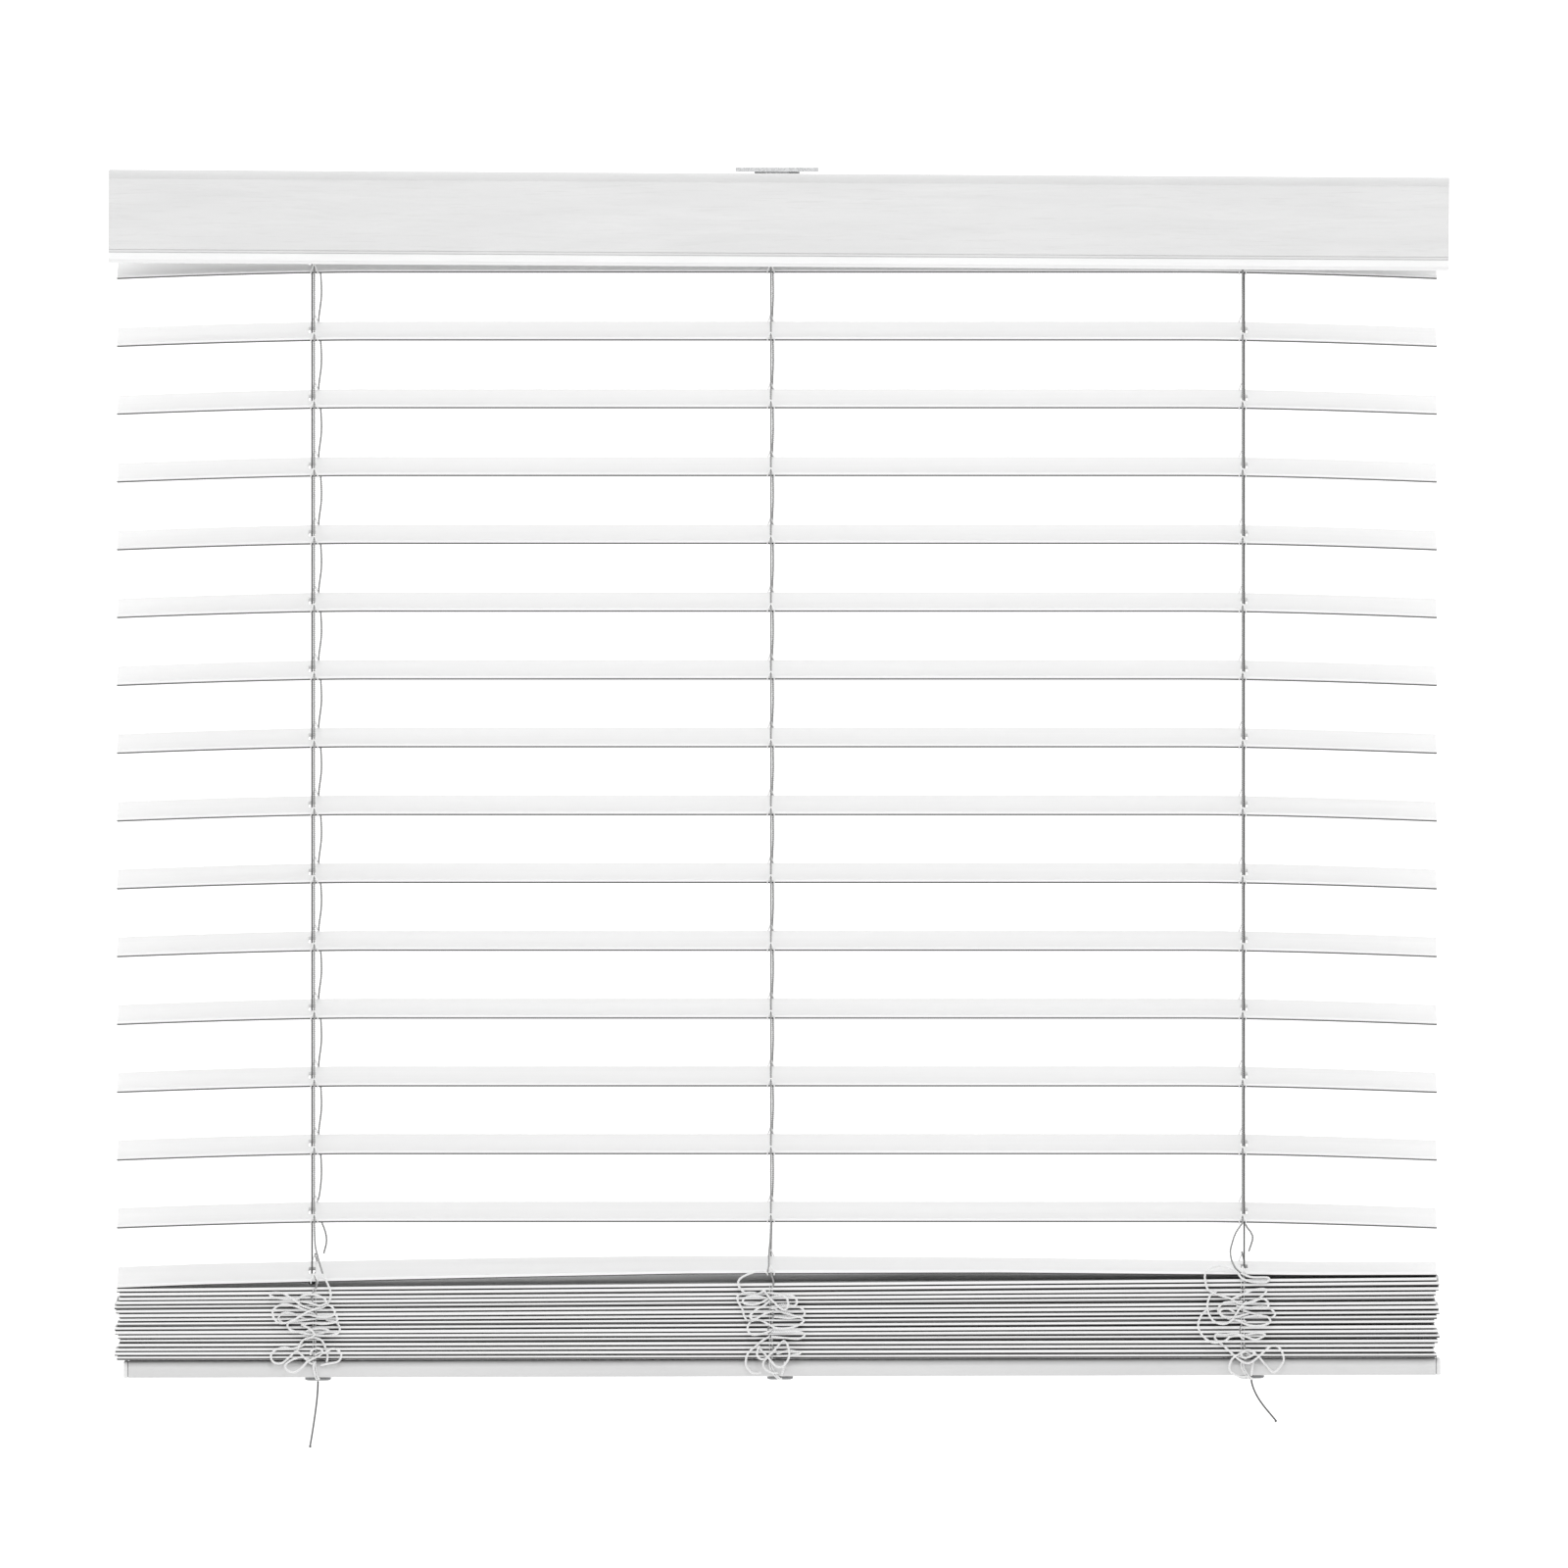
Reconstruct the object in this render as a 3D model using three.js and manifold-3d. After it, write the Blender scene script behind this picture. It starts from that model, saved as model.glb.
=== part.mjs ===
// A cordless venetian blind with 2 inch faux-wood slats, hung up and half raised.
// Millimetres. +X runs along the slats to the right, -Y faces the room and +Z is up.
// The origin is the middle of the flat top of the centre bracket, which screws to the window head.
import * as THREE from 'three';
import { mergeVertices } from 'three/addons/utils/BufferGeometryUtils.js';
import Module from 'manifold-3d';

// Slats
const SLAT_LENGTH = 876;
const SLAT_DEPTH = 50;
const SLAT_THICKNESS = 2.5;
const SLAT_PITCH = 45;
const SLAT_EDGE_ROUND = 0.8;
const OPEN_SLATS = 15;
const FLAT_SLATS = 17;
const FIRST_SLAT_Z = -63.2;
const SLAT_TILT = THREE.MathUtils.degToRad(13.2); // front edge down
const END_DROOP = 4.4; // the free ends sag below the middle
const DROOP_START = 280; // from the middle, where the sag begins
const DROOP_POWER = 1.5;
const SETTLING_SLAT_Z = -727.4; // the slat that has just come down on the stack
const SETTLING_LEAN = THREE.MathUtils.degToRad(-0.35);

// Stations along the slats, where ladders and lift cords run
const LADDER_X = [-306.5, -4, 309];
const LIFT_X = [-308.7, 310.3];
const ROUT_WIDTH = 6;
const ROUT_LENGTH = 19;

// Headrail and valance
const RAIL_WALL = 0.8;
const HEADRAIL = { length: 876, depth: 51, height: 30, top: -8.4, flange: 6 };
const HEADRAIL_BOTTOM = HEADRAIL.top - HEADRAIL.height;
const HEADRAIL_FLOOR = HEADRAIL_BOTTOM + RAIL_WALL;
const VALANCE = { length: 889, height: 61.8, top: -4.2, back: -38, shift: 1.6 };
const VALANCE_LEAN = THREE.MathUtils.degToRad(0.34);

// Shafts inside the headrail
const SHAFT_Z = -23;
const TILT_SHAFT_Y = 12;
const LIFT_SHAFT_Y = -12;
const TILT_ROD_R = 3.2;
const LIFT_ROD_R = 2.6;
const BORE_R = 3.6;
const TILTER_X = -384;
const MOTOR_X = 135;
const CLIP_X = 62;
const REEL_FLANGE_R = 10.8;
const REEL_R = 5.4;
const HOUSING_TOP = -11.3;

// Stack and bottom rail
const BOTTOM_RAIL = { length: 868, depth: 50, height: 11.1, top: -791, shift: 3.4 };
const BOTTOM_RAIL_LEAN = THREE.MathUtils.degToRad(-0.13);
const CAP_THICKNESS = 2.6;
const PLUG_X = [-304.8, 2.1, 314.9];
const PLUG_BORE_R = 6.6;
const STACK_GAP_LEFT = 0.3;
const STACK_GAP_RIGHT = 0.66;
const STACK_GAP_SWING = 0.36;
const STACK_SLIDE_X = 1.8; // how far the stacked slats lie out of line
const STACK_SLIDE_Y = 0.5;
const STACK_TILT_LOW = THREE.MathUtils.degToRad(1.2);
const STACK_TILT_TOP = THREE.MathUtils.degToRad(6.2);

// Cords
const CORD_R = 0.6;
const STRING_R = 0.6;
const STRING_OFFSET = 1.75; // from a slat's edge to the middle of its ladder string
const CLEAR = 0.3;

const PAINTED_STEEL = { color: 0xececec, roughness: 0.4, metalness: 0.1 };
const ZINC_STEEL = { color: 0xb9bcc0, roughness: 0.3, metalness: 0.9 };
const FAUX_WOOD = { color: 0xe9e9e9, roughness: 0.5, metalness: 0 };
const WHITE_PLASTIC = { color: 0xf1f1f1, roughness: 0.35, metalness: 0 };
const GREY_PLASTIC = { color: 0xc9cccf, roughness: 0.4, metalness: 0 };
const CORD = { color: 0xf4f4f2, roughness: 0.9, metalness: 0 };

const wasm = await Module();
wasm.setup();

const blind = new THREE.Group();

// ---------------------------------------------------------------- helpers

function addPart(name, geometry, finish, parent = blind) {
  const mesh = new THREE.Mesh(geometry, new THREE.MeshStandardMaterial(finish));
  mesh.name = name;
  parent.add(mesh);
  return mesh;
}

function toSolid(geometry) {
  const bare = geometry.clone();
  bare.deleteAttribute('normal');
  bare.deleteAttribute('uv');
  const welded = mergeVertices(bare);
  return new wasm.Manifold(new wasm.Mesh({
    numProp: 3,
    vertProperties: new Float32Array(welded.attributes.position.array),
    triVerts: new Uint32Array(welded.index.array),
  }));
}

function toGeometry(solid) {
  const mesh = solid.getMesh();
  const geometry = new THREE.BufferGeometry();
  geometry.setAttribute('position', new THREE.BufferAttribute(new Float32Array(mesh.vertProperties), 3));
  geometry.setIndex(new THREE.BufferAttribute(new Uint32Array(mesh.triVerts), 1));
  return geometry;
}

function cut(body, ...tools) {
  return toGeometry(tools.reduce((solid, tool) => solid.subtract(toSolid(tool)), toSolid(body)));
}

function join(first, ...rest) {
  return toGeometry(rest.reduce((solid, piece) => solid.add(toSolid(piece)), toSolid(first)));
}

// A box given by its lowest and highest corners.
function box([x0, y0, z0], [x1, y1, z1]) {
  const geometry = new THREE.BoxGeometry(x1 - x0, y1 - y0, z1 - z0);
  return geometry.translate((x0 + x1) / 2, (y0 + y1) / 2, (z0 + z1) / 2);
}

// An outline of (y, z) points carried along X, with its middle at x = 0.
function alongX(outline, length, steps = 1) {
  const shape = new THREE.Shape(outline.map(([y, z]) => new THREE.Vector2(y, z)));
  const geometry = new THREE.ExtrudeGeometry(shape, { depth: length, steps, bevelEnabled: false });
  geometry.translate(0, 0, -length / 2);
  const basis = new THREE.Matrix4().makeBasis(
    new THREE.Vector3(0, 1, 0),
    new THREE.Vector3(0, 0, 1),
    new THREE.Vector3(1, 0, 0),
  );
  return geometry.applyMatrix4(basis);
}

// A round bar or bore along X.
function barX(radius, x0, x1, y, z, sides = 12) {
  const geometry = new THREE.CylinderGeometry(radius, radius, x1 - x0, sides);
  return geometry.rotateZ(Math.PI / 2).translate((x0 + x1) / 2, y, z);
}

// A round bar or bore along Z.
function barZ(radius, x, y, z0, z1, sides = 12) {
  const geometry = new THREE.CylinderGeometry(radius, radius, z1 - z0, sides);
  return geometry.rotateX(Math.PI / 2).translate(x, y, (z0 + z1) / 2);
}

// A round bore along Y, given by its middle and its length.
function barY(radius, x, y, z, length, sides = 12) {
  return new THREE.CylinderGeometry(radius, radius, length, sides).translate(x, y, z);
}

// A turned ring about an axis along X. The profile's points are (x along the axis, radius), and it closes.
function ringX(profile, segments) {
  const points = [...profile, profile[0]].map(([x, r]) => new THREE.Vector2(r, x));
  return new THREE.LatheGeometry(points, segments).rotateZ(-Math.PI / 2);
}

// A turned solid about an axis along X. The profile runs from end to end, and it starts and ends on the axis.
function turnedX(profile, segments) {
  const points = profile.map(([x, r]) => new THREE.Vector2(r, x));
  return new THREE.LatheGeometry(points, segments).rotateZ(-Math.PI / 2);
}

// A cord of round section along a smooth curve through (x, y, z) points.
function cord(points, radius, steps, sides = 8) {
  const section = new THREE.Shape();
  for (let i = 0; i < sides; i += 1) {
    const turn = (i / sides) * 2 * Math.PI;
    const point = [radius * Math.cos(turn), radius * Math.sin(turn)];
    if (i === 0) section.moveTo(...point);
    else section.lineTo(...point);
  }
  const route = points.map((point) => new THREE.Vector3(...point));
  const straight = route.length === 2;
  const curve = new THREE.CatmullRomCurve3(route, false, 'centripetal');
  const path = straight ? new THREE.LineCurve3(...route) : curve;
  return new THREE.ExtrudeGeometry(section, { steps, extrudePath: path, bevelEnabled: false });
}

// A screw line about the Z axis, with its middle at z = 0.
class Helix extends THREE.Curve {
  constructor(radius, pitch, turns) {
    super();
    Object.assign(this, { radius, pitch, turns });
  }

  getPoint(t, target = new THREE.Vector3()) {
    const turn = t * this.turns * 2 * Math.PI;
    const height = (t - 0.5) * this.turns * this.pitch;
    return target.set(this.radius * Math.cos(turn), this.radius * Math.sin(turn), height);
  }
}

// ---------------------------------------------------------------- slats

// The cross-section: flat faces and rounded front and rear edges.
function slatOutline() {
  const edge = SLAT_DEPTH / 2;
  const half = SLAT_THICKNESS / 2;
  const round = SLAT_EDGE_ROUND;
  const quarter = [[edge, half - round], [edge - round * 0.8, half]];
  const mirrored = quarter.map(([y, z]) => [-y, z]).reverse();
  const upper = [...quarter, ...mirrored];
  const lower = upper.map(([y, z]) => [-y, -z]);
  return [...upper, ...lower];
}

function droop(x) {
  const overhang = Math.max(0, Math.abs(x) - DROOP_START) / (SLAT_LENGTH / 2 - DROOP_START);
  return END_DROOP * overhang ** DROOP_POWER;
}

// A slat cut to length, level over the ladders and sagging towards its free ends.
function droopedSlat() {
  const half = SLAT_LENGTH / 2;
  const overhang = half - DROOP_START;
  const fractions = [0, 0.2, 0.42, 0.7, 1];
  const right = fractions.map((fraction) => DROOP_START + fraction * overhang);
  const layers = [...right.map((x) => -x).reverse(), ...right];
  const geometry = alongX(slatOutline(), SLAT_LENGTH, layers.length - 1);
  const position = geometry.attributes.position;
  for (let i = 0; i < position.count; i += 1) {
    const layer = Math.round(((position.getX(i) + half) / SLAT_LENGTH) * (layers.length - 1));
    position.setX(i, layers[layer]);
    position.setZ(i, position.getZ(i) - droop(layers[layer]));
  }
  return geometry;
}

// The oblong hole that a lift cord runs through.
function routHole(x) {
  const radius = ROUT_WIDTH / 2;
  const straight = ROUT_LENGTH / 2 - radius;
  const outline = new THREE.Shape();
  outline.absarc(0, straight, radius, 0, Math.PI);
  outline.absarc(0, -straight, radius, Math.PI, 2 * Math.PI);
  const depth = 8 * SLAT_THICKNESS;
  const geometry = new THREE.ExtrudeGeometry(outline, { depth, bevelEnabled: false, curveSegments: 3 });
  return geometry.translate(x, 0, -depth / 2);
}

const routHoles = () => LIFT_X.map(routHole);
const slatName = (number) => `slat_${String(number).padStart(2, '0')}`;

function addOpenSlats() {
  const geometry = cut(droopedSlat(), ...routHoles());
  for (let i = 0; i < OPEN_SLATS; i += 1) {
    const slat = addPart(slatName(i + 1), geometry, FAUX_WOOD);
    slat.position.z = FIRST_SLAT_Z - i * SLAT_PITCH;
    slat.rotation.x = SLAT_TILT;
  }
  const settling = addPart(slatName(OPEN_SLATS + 1), geometry, FAUX_WOOD);
  settling.position.z = SETTLING_SLAT_Z;
  settling.rotation.set(SLAT_TILT, SETTLING_LEAN, 0);
}

// The stacked slats lie on the bottom rail, closed up at the left and a little open at the right.
// Their rear edges stand higher than their front ones, the more so the nearer the top.
function addStackedSlats() {
  const geometry = cut(alongX(slatOutline(), SLAT_LENGTH), ...routHoles());
  const slope = Math.tan(-BOTTOM_RAIL_LEAN) * SLAT_LENGTH;
  let left = BOTTOM_RAIL.top - slope / 2 + SLAT_THICKNESS / 2 + STACK_GAP_LEFT;
  let right = BOTTOM_RAIL.top + slope / 2 + SLAT_THICKNESS / 2 + STACK_GAP_LEFT;
  for (let i = 0; i < FLAT_SLATS; i += 1) {
    const slat = addPart(slatName(OPEN_SLATS + 1 + FLAT_SLATS - i), geometry, FAUX_WOOD);
    const tilt = THREE.MathUtils.lerp(STACK_TILT_LOW, STACK_TILT_TOP, (i / (FLAT_SLATS - 1)) ** 2);
    const rise = (SLAT_DEPTH / 2) * Math.sin(tilt);
    const slideX = STACK_SLIDE_X * Math.sin(5.1 * i);
    const slideY = STACK_SLIDE_Y * Math.sin(3.7 * i);
    slat.position.set(slideX, slideY, (left + right) / 2 + rise);
    slat.rotation.set(tilt, -Math.atan((right - left) / SLAT_LENGTH), 0);
    left += SLAT_THICKNESS + STACK_GAP_LEFT;
    right += SLAT_THICKNESS + STACK_GAP_RIGHT + STACK_GAP_SWING * Math.sin(2.4 * i);
  }
}

// ---------------------------------------------------------------- headrail, valance and brackets

// A roll-formed channel, open at the top, with its edges turned in and down.
function addHeadrail() {
  const side = HEADRAIL.depth / 2;
  const { top, flange } = HEADRAIL;
  const lip = 2.5;
  const outside = [
    [side - flange, top - lip], [side - flange, top], [side, top],
    [side, HEADRAIL_BOTTOM], [-side, HEADRAIL_BOTTOM],
    [-side, top], [flange - side, top], [flange - side, top - lip],
  ];
  const inner = side - RAIL_WALL;
  const inside = [
    [flange - side - RAIL_WALL, top - lip], [flange - side - RAIL_WALL, top - RAIL_WALL],
    [-inner, top - RAIL_WALL], [-inner, HEADRAIL_FLOOR], [inner, HEADRAIL_FLOOR], [inner, top - RAIL_WALL],
    [side - flange + RAIL_WALL, top - RAIL_WALL], [side - flange + RAIL_WALL, top - lip],
  ];
  const channel = alongX([...outside, ...inside], HEADRAIL.length);
  const slotZ = [HEADRAIL_BOTTOM - 1, HEADRAIL_FLOOR + 1];
  const ladderSlots = LADDER_X.map((x) => box([x - 7, -23, slotZ[0]], [x + 7, 23, slotZ[1]]));
  const wandSlot = box([TILTER_X - 6, -side - 1, slotZ[0]], [TILTER_X + 6, -13, slotZ[1] + 4]);
  addPart('headrail', cut(channel, ...ladderSlots, wandSlot), PAINTED_STEEL);
}

// The moulding that hides the headrail: a crown at the top, a flat panel, two fine grooves and a bead.
function addValance() {
  const { height } = VALANCE;
  const face = -9.5;
  const bead = { middle: -57.3, radius: 2.9 };
  const beadArc = [0, 1, 2, 3, 4].map((i) => {
    const turn = THREE.MathUtils.degToRad(70 - 35 * i);
    return [face - bead.radius * Math.cos(turn), bead.middle + bead.radius * Math.sin(turn)];
  });
  const outline = [
    [0, 0], [-11.6, 0], [-12.8, -0.9], [-12.6, -2], [face - 0.6, -5.4], [face, -5.9],
    [face, -52.2], [face + 0.7, -52.6], [face, -53],
    [face, -53.7], [face + 0.7, -54.1], [face, -54.5],
    ...beadArc,
    [face - 1.4, -height + 0.5], [face - 0.6, -height], [0, -height],
  ];
  const valance = addPart('valance', alongX(outline.reverse(), VALANCE.length), FAUX_WOOD);
  valance.position.set(VALANCE.shift, VALANCE.back, VALANCE.top);
  valance.rotation.y = VALANCE_LEAN;
}

// A clear clip that hooks over the headrail's front edge and holds the valance.
function addValanceClip() {
  const sheet = 1;
  const top = HEADRAIL.top + CLEAR + sheet;
  const front = VALANCE.back + CLEAR;
  const hook = 10 - HEADRAIL.depth / 2;
  const outline = [
    [front, top], [hook, top], [hook, top - 5], [hook - sheet, top - 5], [hook - sheet, top - sheet],
    [front + sheet, top - sheet], [front + sheet, top - 34], [front, top - 34],
  ];
  addPart('valance_clip', alongX(outline.reverse(), 24).translate(CLIP_X, 0, 0), WHITE_PLASTIC);
}

// The visible centre bracket: a plate with a turned front lip, a hook for the front flange and a rear leg.
function addCentreBracket() {
  const sheet = 1.4;
  const half = 27.5;
  const back = HEADRAIL.depth / 2 + CLEAR;
  const plate = box([-half, -25.5, -sheet], [half, back + sheet, 0]);
  const lip = box([-half, -26.9, -2.8], [half, -25.5, 0]);
  const rearLeg = box([-15, back, HEADRAIL_BOTTOM - CLEAR - sheet], [15, back + sheet, 0]);
  const foot = box([-15, 17, HEADRAIL_BOTTOM - CLEAR - sheet], [15, back + sheet, HEADRAIL_BOTTOM - CLEAR]);
  const inside = HEADRAIL.flange - HEADRAIL.depth / 2 + CLEAR;
  const frontLeg = box([-8, inside, -13.4], [8, inside + sheet, 0]);
  const hook = box([-8, inside - 4.5, -13.4], [8, inside + sheet, -12]);
  const bracket = join(plate, lip, rearLeg, foot, frontLeg, hook);
  const screwHoles = [-19, 19].map((x) => barZ(2.4, x, 4, -3, 1));
  const wallHoles = [-9, 9].map((x) => barY(2.2, x, back + 1, -24, 6));
  addPart('centre_bracket', cut(bracket, ...screwHoles, ...wallHoles), ZINC_STEEL);
}

// A snap-in box that closes one end of the headrail. side is -1 at the left and 1 at the right.
function addEndBracket(name, side) {
  const sheet = 1.2;
  const width = 24;
  const reach = HEADRAIL.depth / 2 + CLEAR;
  const outer = reach + sheet;
  const top = HEADRAIL.top + CLEAR;
  const bottom = HEADRAIL_BOTTOM - CLEAR;
  const outline = [
    [-outer + 8, top + sheet], [outer, top + sheet], [outer, bottom - sheet], [-outer, bottom - sheet],
    [-outer, bottom + 8], [-reach, bottom + 8], [-reach, bottom], [reach, bottom],
    [reach, top], [-outer + 8, top],
  ];
  const inner = HEADRAIL.length / 2 + CLEAR;
  const sleeve = alongX(outline.reverse(), width).translate(side * (inner - width / 2), 0, 0);
  const plate = box([inner - 0.1, -outer, bottom - sheet], [inner + sheet, outer, top + sheet]);
  if (side < 0) plate.rotateZ(Math.PI);
  const wallHole = barY(2.4, side * (HEADRAIL.length / 2 - 14), reach, -18, 8);
  addPart(name, cut(join(sleeve, plate), wallHole), PAINTED_STEEL);
}

// ---------------------------------------------------------------- tilting

const atTiltShaft = (geometry, x) => geometry.translate(x, TILT_SHAFT_Y, SHAFT_Z);
const atLiftShaft = (geometry, x) => geometry.translate(x, LIFT_SHAFT_Y, SHAFT_Z);

// The hexagonal tilt rod with the three drums that wind the ladder strings.
function addTiltShaft() {
  const rod = barX(TILT_ROD_R, TILTER_X - 20, LADDER_X[2] + 14, TILT_SHAFT_Y, SHAFT_Z, 6);
  const drum = turnedX([
    [-9, 0], [-9, 5], [-6, 5], [-6, 9.5], [-5, 9.5], [-5, 7.5],
    [5, 7.5], [5, 9.5], [6, 9.5], [6, 5], [9, 5], [9, 0],
  ], 12);
  addPart('tilt_shaft', join(rod, ...LADDER_X.map((x) => atTiltShaft(drum.clone(), x))), ZINC_STEEL);
}

// A cradle carries a drum of the tilt shaft and a spool of the lift shaft over a slot in the headrail.
function addCradle() {
  const x = LADDER_X[0];
  const floor = HEADRAIL_FLOOR + CLEAR;
  const wall = 1.4;
  const half = 12.6;
  const wallTop = SHAFT_Z + 1;
  const base = box([x - 18, -23.2, floor], [x + 18, 23.2, floor + wall]);
  const walls = [x - half - wall, x + half].map((face) => (
    box([face, -21, floor], [face + wall, 22, wallTop])
  ));
  const notch = (y, r) => [
    barX(r, x - 20, x + 20, y, SHAFT_Z),
    box([x - 20, y - r, SHAFT_Z], [x + 20, y + r, wallTop + 1]),
  ];
  const doorways = [-19.3, 0, 19.5].map((y) => (
    box([x - 5.5, y - 3.2, floor - 1], [x + 5.5, y + 3.2, floor + 2])
  ));
  const shaftNotches = [...notch(TILT_SHAFT_Y, 5.4), ...notch(LIFT_SHAFT_Y, 3)];
  addPart('left_cradle', cut(join(base, ...walls), ...shaftNotches, ...doorways), WHITE_PLASTIC);
}

// The wand turns a worm, the worm turns a gear on the tilt rod. The worm leans out to the front.
const WORM_LEAN = THREE.MathUtils.degToRad(45);
const GEAR_R = 8.5;
const GEAR_TEETH = 20;
const WORM_R = 3.6;
const WORM_DISTANCE = GEAR_R + WORM_R + CLEAR;

function addTilterGear() {
  const outline = [];
  for (let i = 0; i < GEAR_TEETH; i += 1) {
    [[-0.3, GEAR_R - 1.6], [-0.13, GEAR_R], [0.13, GEAR_R], [0.3, GEAR_R - 1.6]].forEach(([part, r]) => {
      const turn = ((i + part) / GEAR_TEETH) * 2 * Math.PI;
      outline.push([r * Math.cos(turn), r * Math.sin(turn)]);
    });
  }
  const gear = cut(alongX(outline, 7), barX(BORE_R, -8, 8, 0, 0));
  addPart('tilter_gear', atTiltShaft(gear, TILTER_X), GREY_PLASTIC);
}

// The worm, its shaft and the eye that takes a tilt wand, built along its own Z axis.
function addTilterWorm() {
  const core = barZ(2.5, 0, 0, -6.5, 6.5, 8);
  const corners = [[-0.45, -0.5], [0.45, -0.5], [0.45, 0.5], [-0.45, 0.5]];
  const ridge = new THREE.Shape(corners.map(([a, b]) => new THREE.Vector2(a, b)));
  const thread = new THREE.ExtrudeGeometry(ridge, {
    steps: 32, extrudePath: new Helix(WORM_R - 0.6, 2.8, 3.4), bevelEnabled: false,
  });
  const shaft = barZ(1.8, 0, 0, -42, -6, 8);
  const eye = new THREE.TorusGeometry(2.5, 0.9, 6, 12).rotateX(Math.PI / 2).translate(0, 0, -44);
  const worm = addPart('tilter_worm', join(core, thread, shaft, eye), GREY_PLASTIC);
  const reach = WORM_DISTANCE * Math.SQRT1_2;
  worm.position.set(TILTER_X, TILT_SHAFT_Y - reach, SHAFT_Z + reach);
  worm.rotation.x = -WORM_LEAN;
}

function addTilterHousing() {
  const floor = HEADRAIL_FLOOR + CLEAR;
  const wall = 1.5;
  const half = 11;
  const outer = box([TILTER_X - half, -20, floor], [TILTER_X + half, 24, HOUSING_TOP]);
  const side = half - wall;
  const inner = box([TILTER_X - side, -20 + wall, floor + wall], [TILTER_X + side, 24 - wall, 0]);
  const shaftHole = barZ(2.4, 0, 0, -40, 0).rotateX(-WORM_LEAN);
  const reach = WORM_DISTANCE * Math.SQRT1_2;
  shaftHole.translate(TILTER_X, TILT_SHAFT_Y - reach, SHAFT_Z + reach);
  const rodHole = barX(BORE_R, TILTER_X - 20, TILTER_X + 20, TILT_SHAFT_Y, SHAFT_Z);
  addPart('tilter_housing', cut(outer, inner, shaftHole, rodHole), WHITE_PLASTIC);
}

// ---------------------------------------------------------------- lifting

// The round lift rod with its cord spools and the output reel of the spring motor.
function addLiftShaft() {
  const rod = barX(LIFT_ROD_R, LIFT_X[0] - 16, LIFT_X[1] + 16, LIFT_SHAFT_Y, SHAFT_Z, 10);
  const spool = turnedX([[-12, 0], [-12, 9], [-11, 9], [-9.5, 6], [9.5, 6], [11, 9], [12, 9], [12, 0]], 12);
  const reel = turnedX([
    [-9, 0], [-9, REEL_FLANGE_R], [-8, REEL_FLANGE_R], [-8, REEL_R],
    [8, REEL_R], [8, REEL_FLANGE_R], [9, REEL_FLANGE_R], [9, 0],
  ], 16);
  const spools = [LADDER_X[0], LADDER_X[2]].map((x) => atLiftShaft(spool.clone(), x));
  addPart('lift_shaft', join(rod, ...spools, atLiftShaft(reel, MOTOR_X)), GREY_PLASTIC);
}

// A reel that idles round the tilt rod stores the flat spring that balances the weight of the slats.
function addSpringMotor() {
  const bore = 4;
  const reel = ringX([
    [-9, bore], [-9, REEL_FLANGE_R], [-8, REEL_FLANGE_R], [-8, REEL_R],
    [8, REEL_R], [8, REEL_FLANGE_R], [9, REEL_FLANGE_R], [9, bore],
  ], 16);
  addPart('storage_reel', atTiltShaft(reel, MOTOR_X), GREY_PLASTIC);

  const coil = (r) => ringX([[-7.4, REEL_R + 0.5], [-7.4, r], [7.4, r], [7.4, REEL_R + 0.5]], 16);
  const strip = [[LIFT_SHAFT_Y, -7.2], [TILT_SHAFT_Y, 9.2], [TILT_SHAFT_Y, 9.8], [LIFT_SHAFT_Y, -6.6]];
  const band = alongX(strip, 14.8).translate(0, 0, SHAFT_Z);
  const spring = join(atTiltShaft(coil(10), 0), atLiftShaft(coil(7.4), 0), band);
  addPart('motor_spring', spring.translate(MOTOR_X, 0, 0), ZINC_STEEL);

  const floor = HEADRAIL_FLOOR + CLEAR;
  const wall = 1.3;
  const half = 14;
  const outer = box([MOTOR_X - half, -24.2, floor], [MOTOR_X + half, 24.2, HOUSING_TOP]);
  const side = half - wall;
  const inner = box([MOTOR_X - side, -24.2 + wall, floor + wall], [MOTOR_X + side, 24.2 - wall, 0]);
  const shaftHoles = [
    barX(BORE_R, MOTOR_X - 20, MOTOR_X + 20, TILT_SHAFT_Y, SHAFT_Z),
    barX(3, MOTOR_X - 20, MOTOR_X + 20, LIFT_SHAFT_Y, SHAFT_Z),
  ];
  addPart('motor_housing', cut(outer, inner, ...shaftHoles), GREY_PLASTIC);
}

// Each lift cord leaves its spool, turns down through the cradle and runs to the bottom rail.
function addLiftCords() {
  const spoolSide = LIFT_SHAFT_Y + 6 + 2 * CORD_R;
  ['left_lift_cord', 'right_lift_cord'].forEach((name, i) => {
    const x = LIFT_X[i];
    const lead = cord([
      [x, spoolSide, SHAFT_Z - 2], [x, spoolSide + 1.4, SHAFT_Z - 7], [x, -1.2, HEADRAIL_FLOOR + 2.5],
      [x, 0, HEADRAIL_BOTTOM - 8], [x, 0, HEADRAIL_BOTTOM - 20],
    ], CORD_R, 8);
    const drop = cord([[x, 0, HEADRAIL_BOTTOM - 19.9], [x, 0, BOTTOM_RAIL.top - 3]], CORD_R, 1);
    addPart(name, join(lead, drop), CORD);
  });
}

// ---------------------------------------------------------------- ladder strings

const EDGE_Y = (SLAT_DEPTH / 2) * Math.cos(SLAT_TILT);
const EDGE_Z = (SLAT_DEPTH / 2) * Math.sin(SLAT_TILT);
const STRING_Y = EDGE_Y + STRING_OFFSET;
const LAST_OPEN_Z = FIRST_SLAT_Z - (OPEN_SLATS - 1) * SLAT_PITCH;

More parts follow.
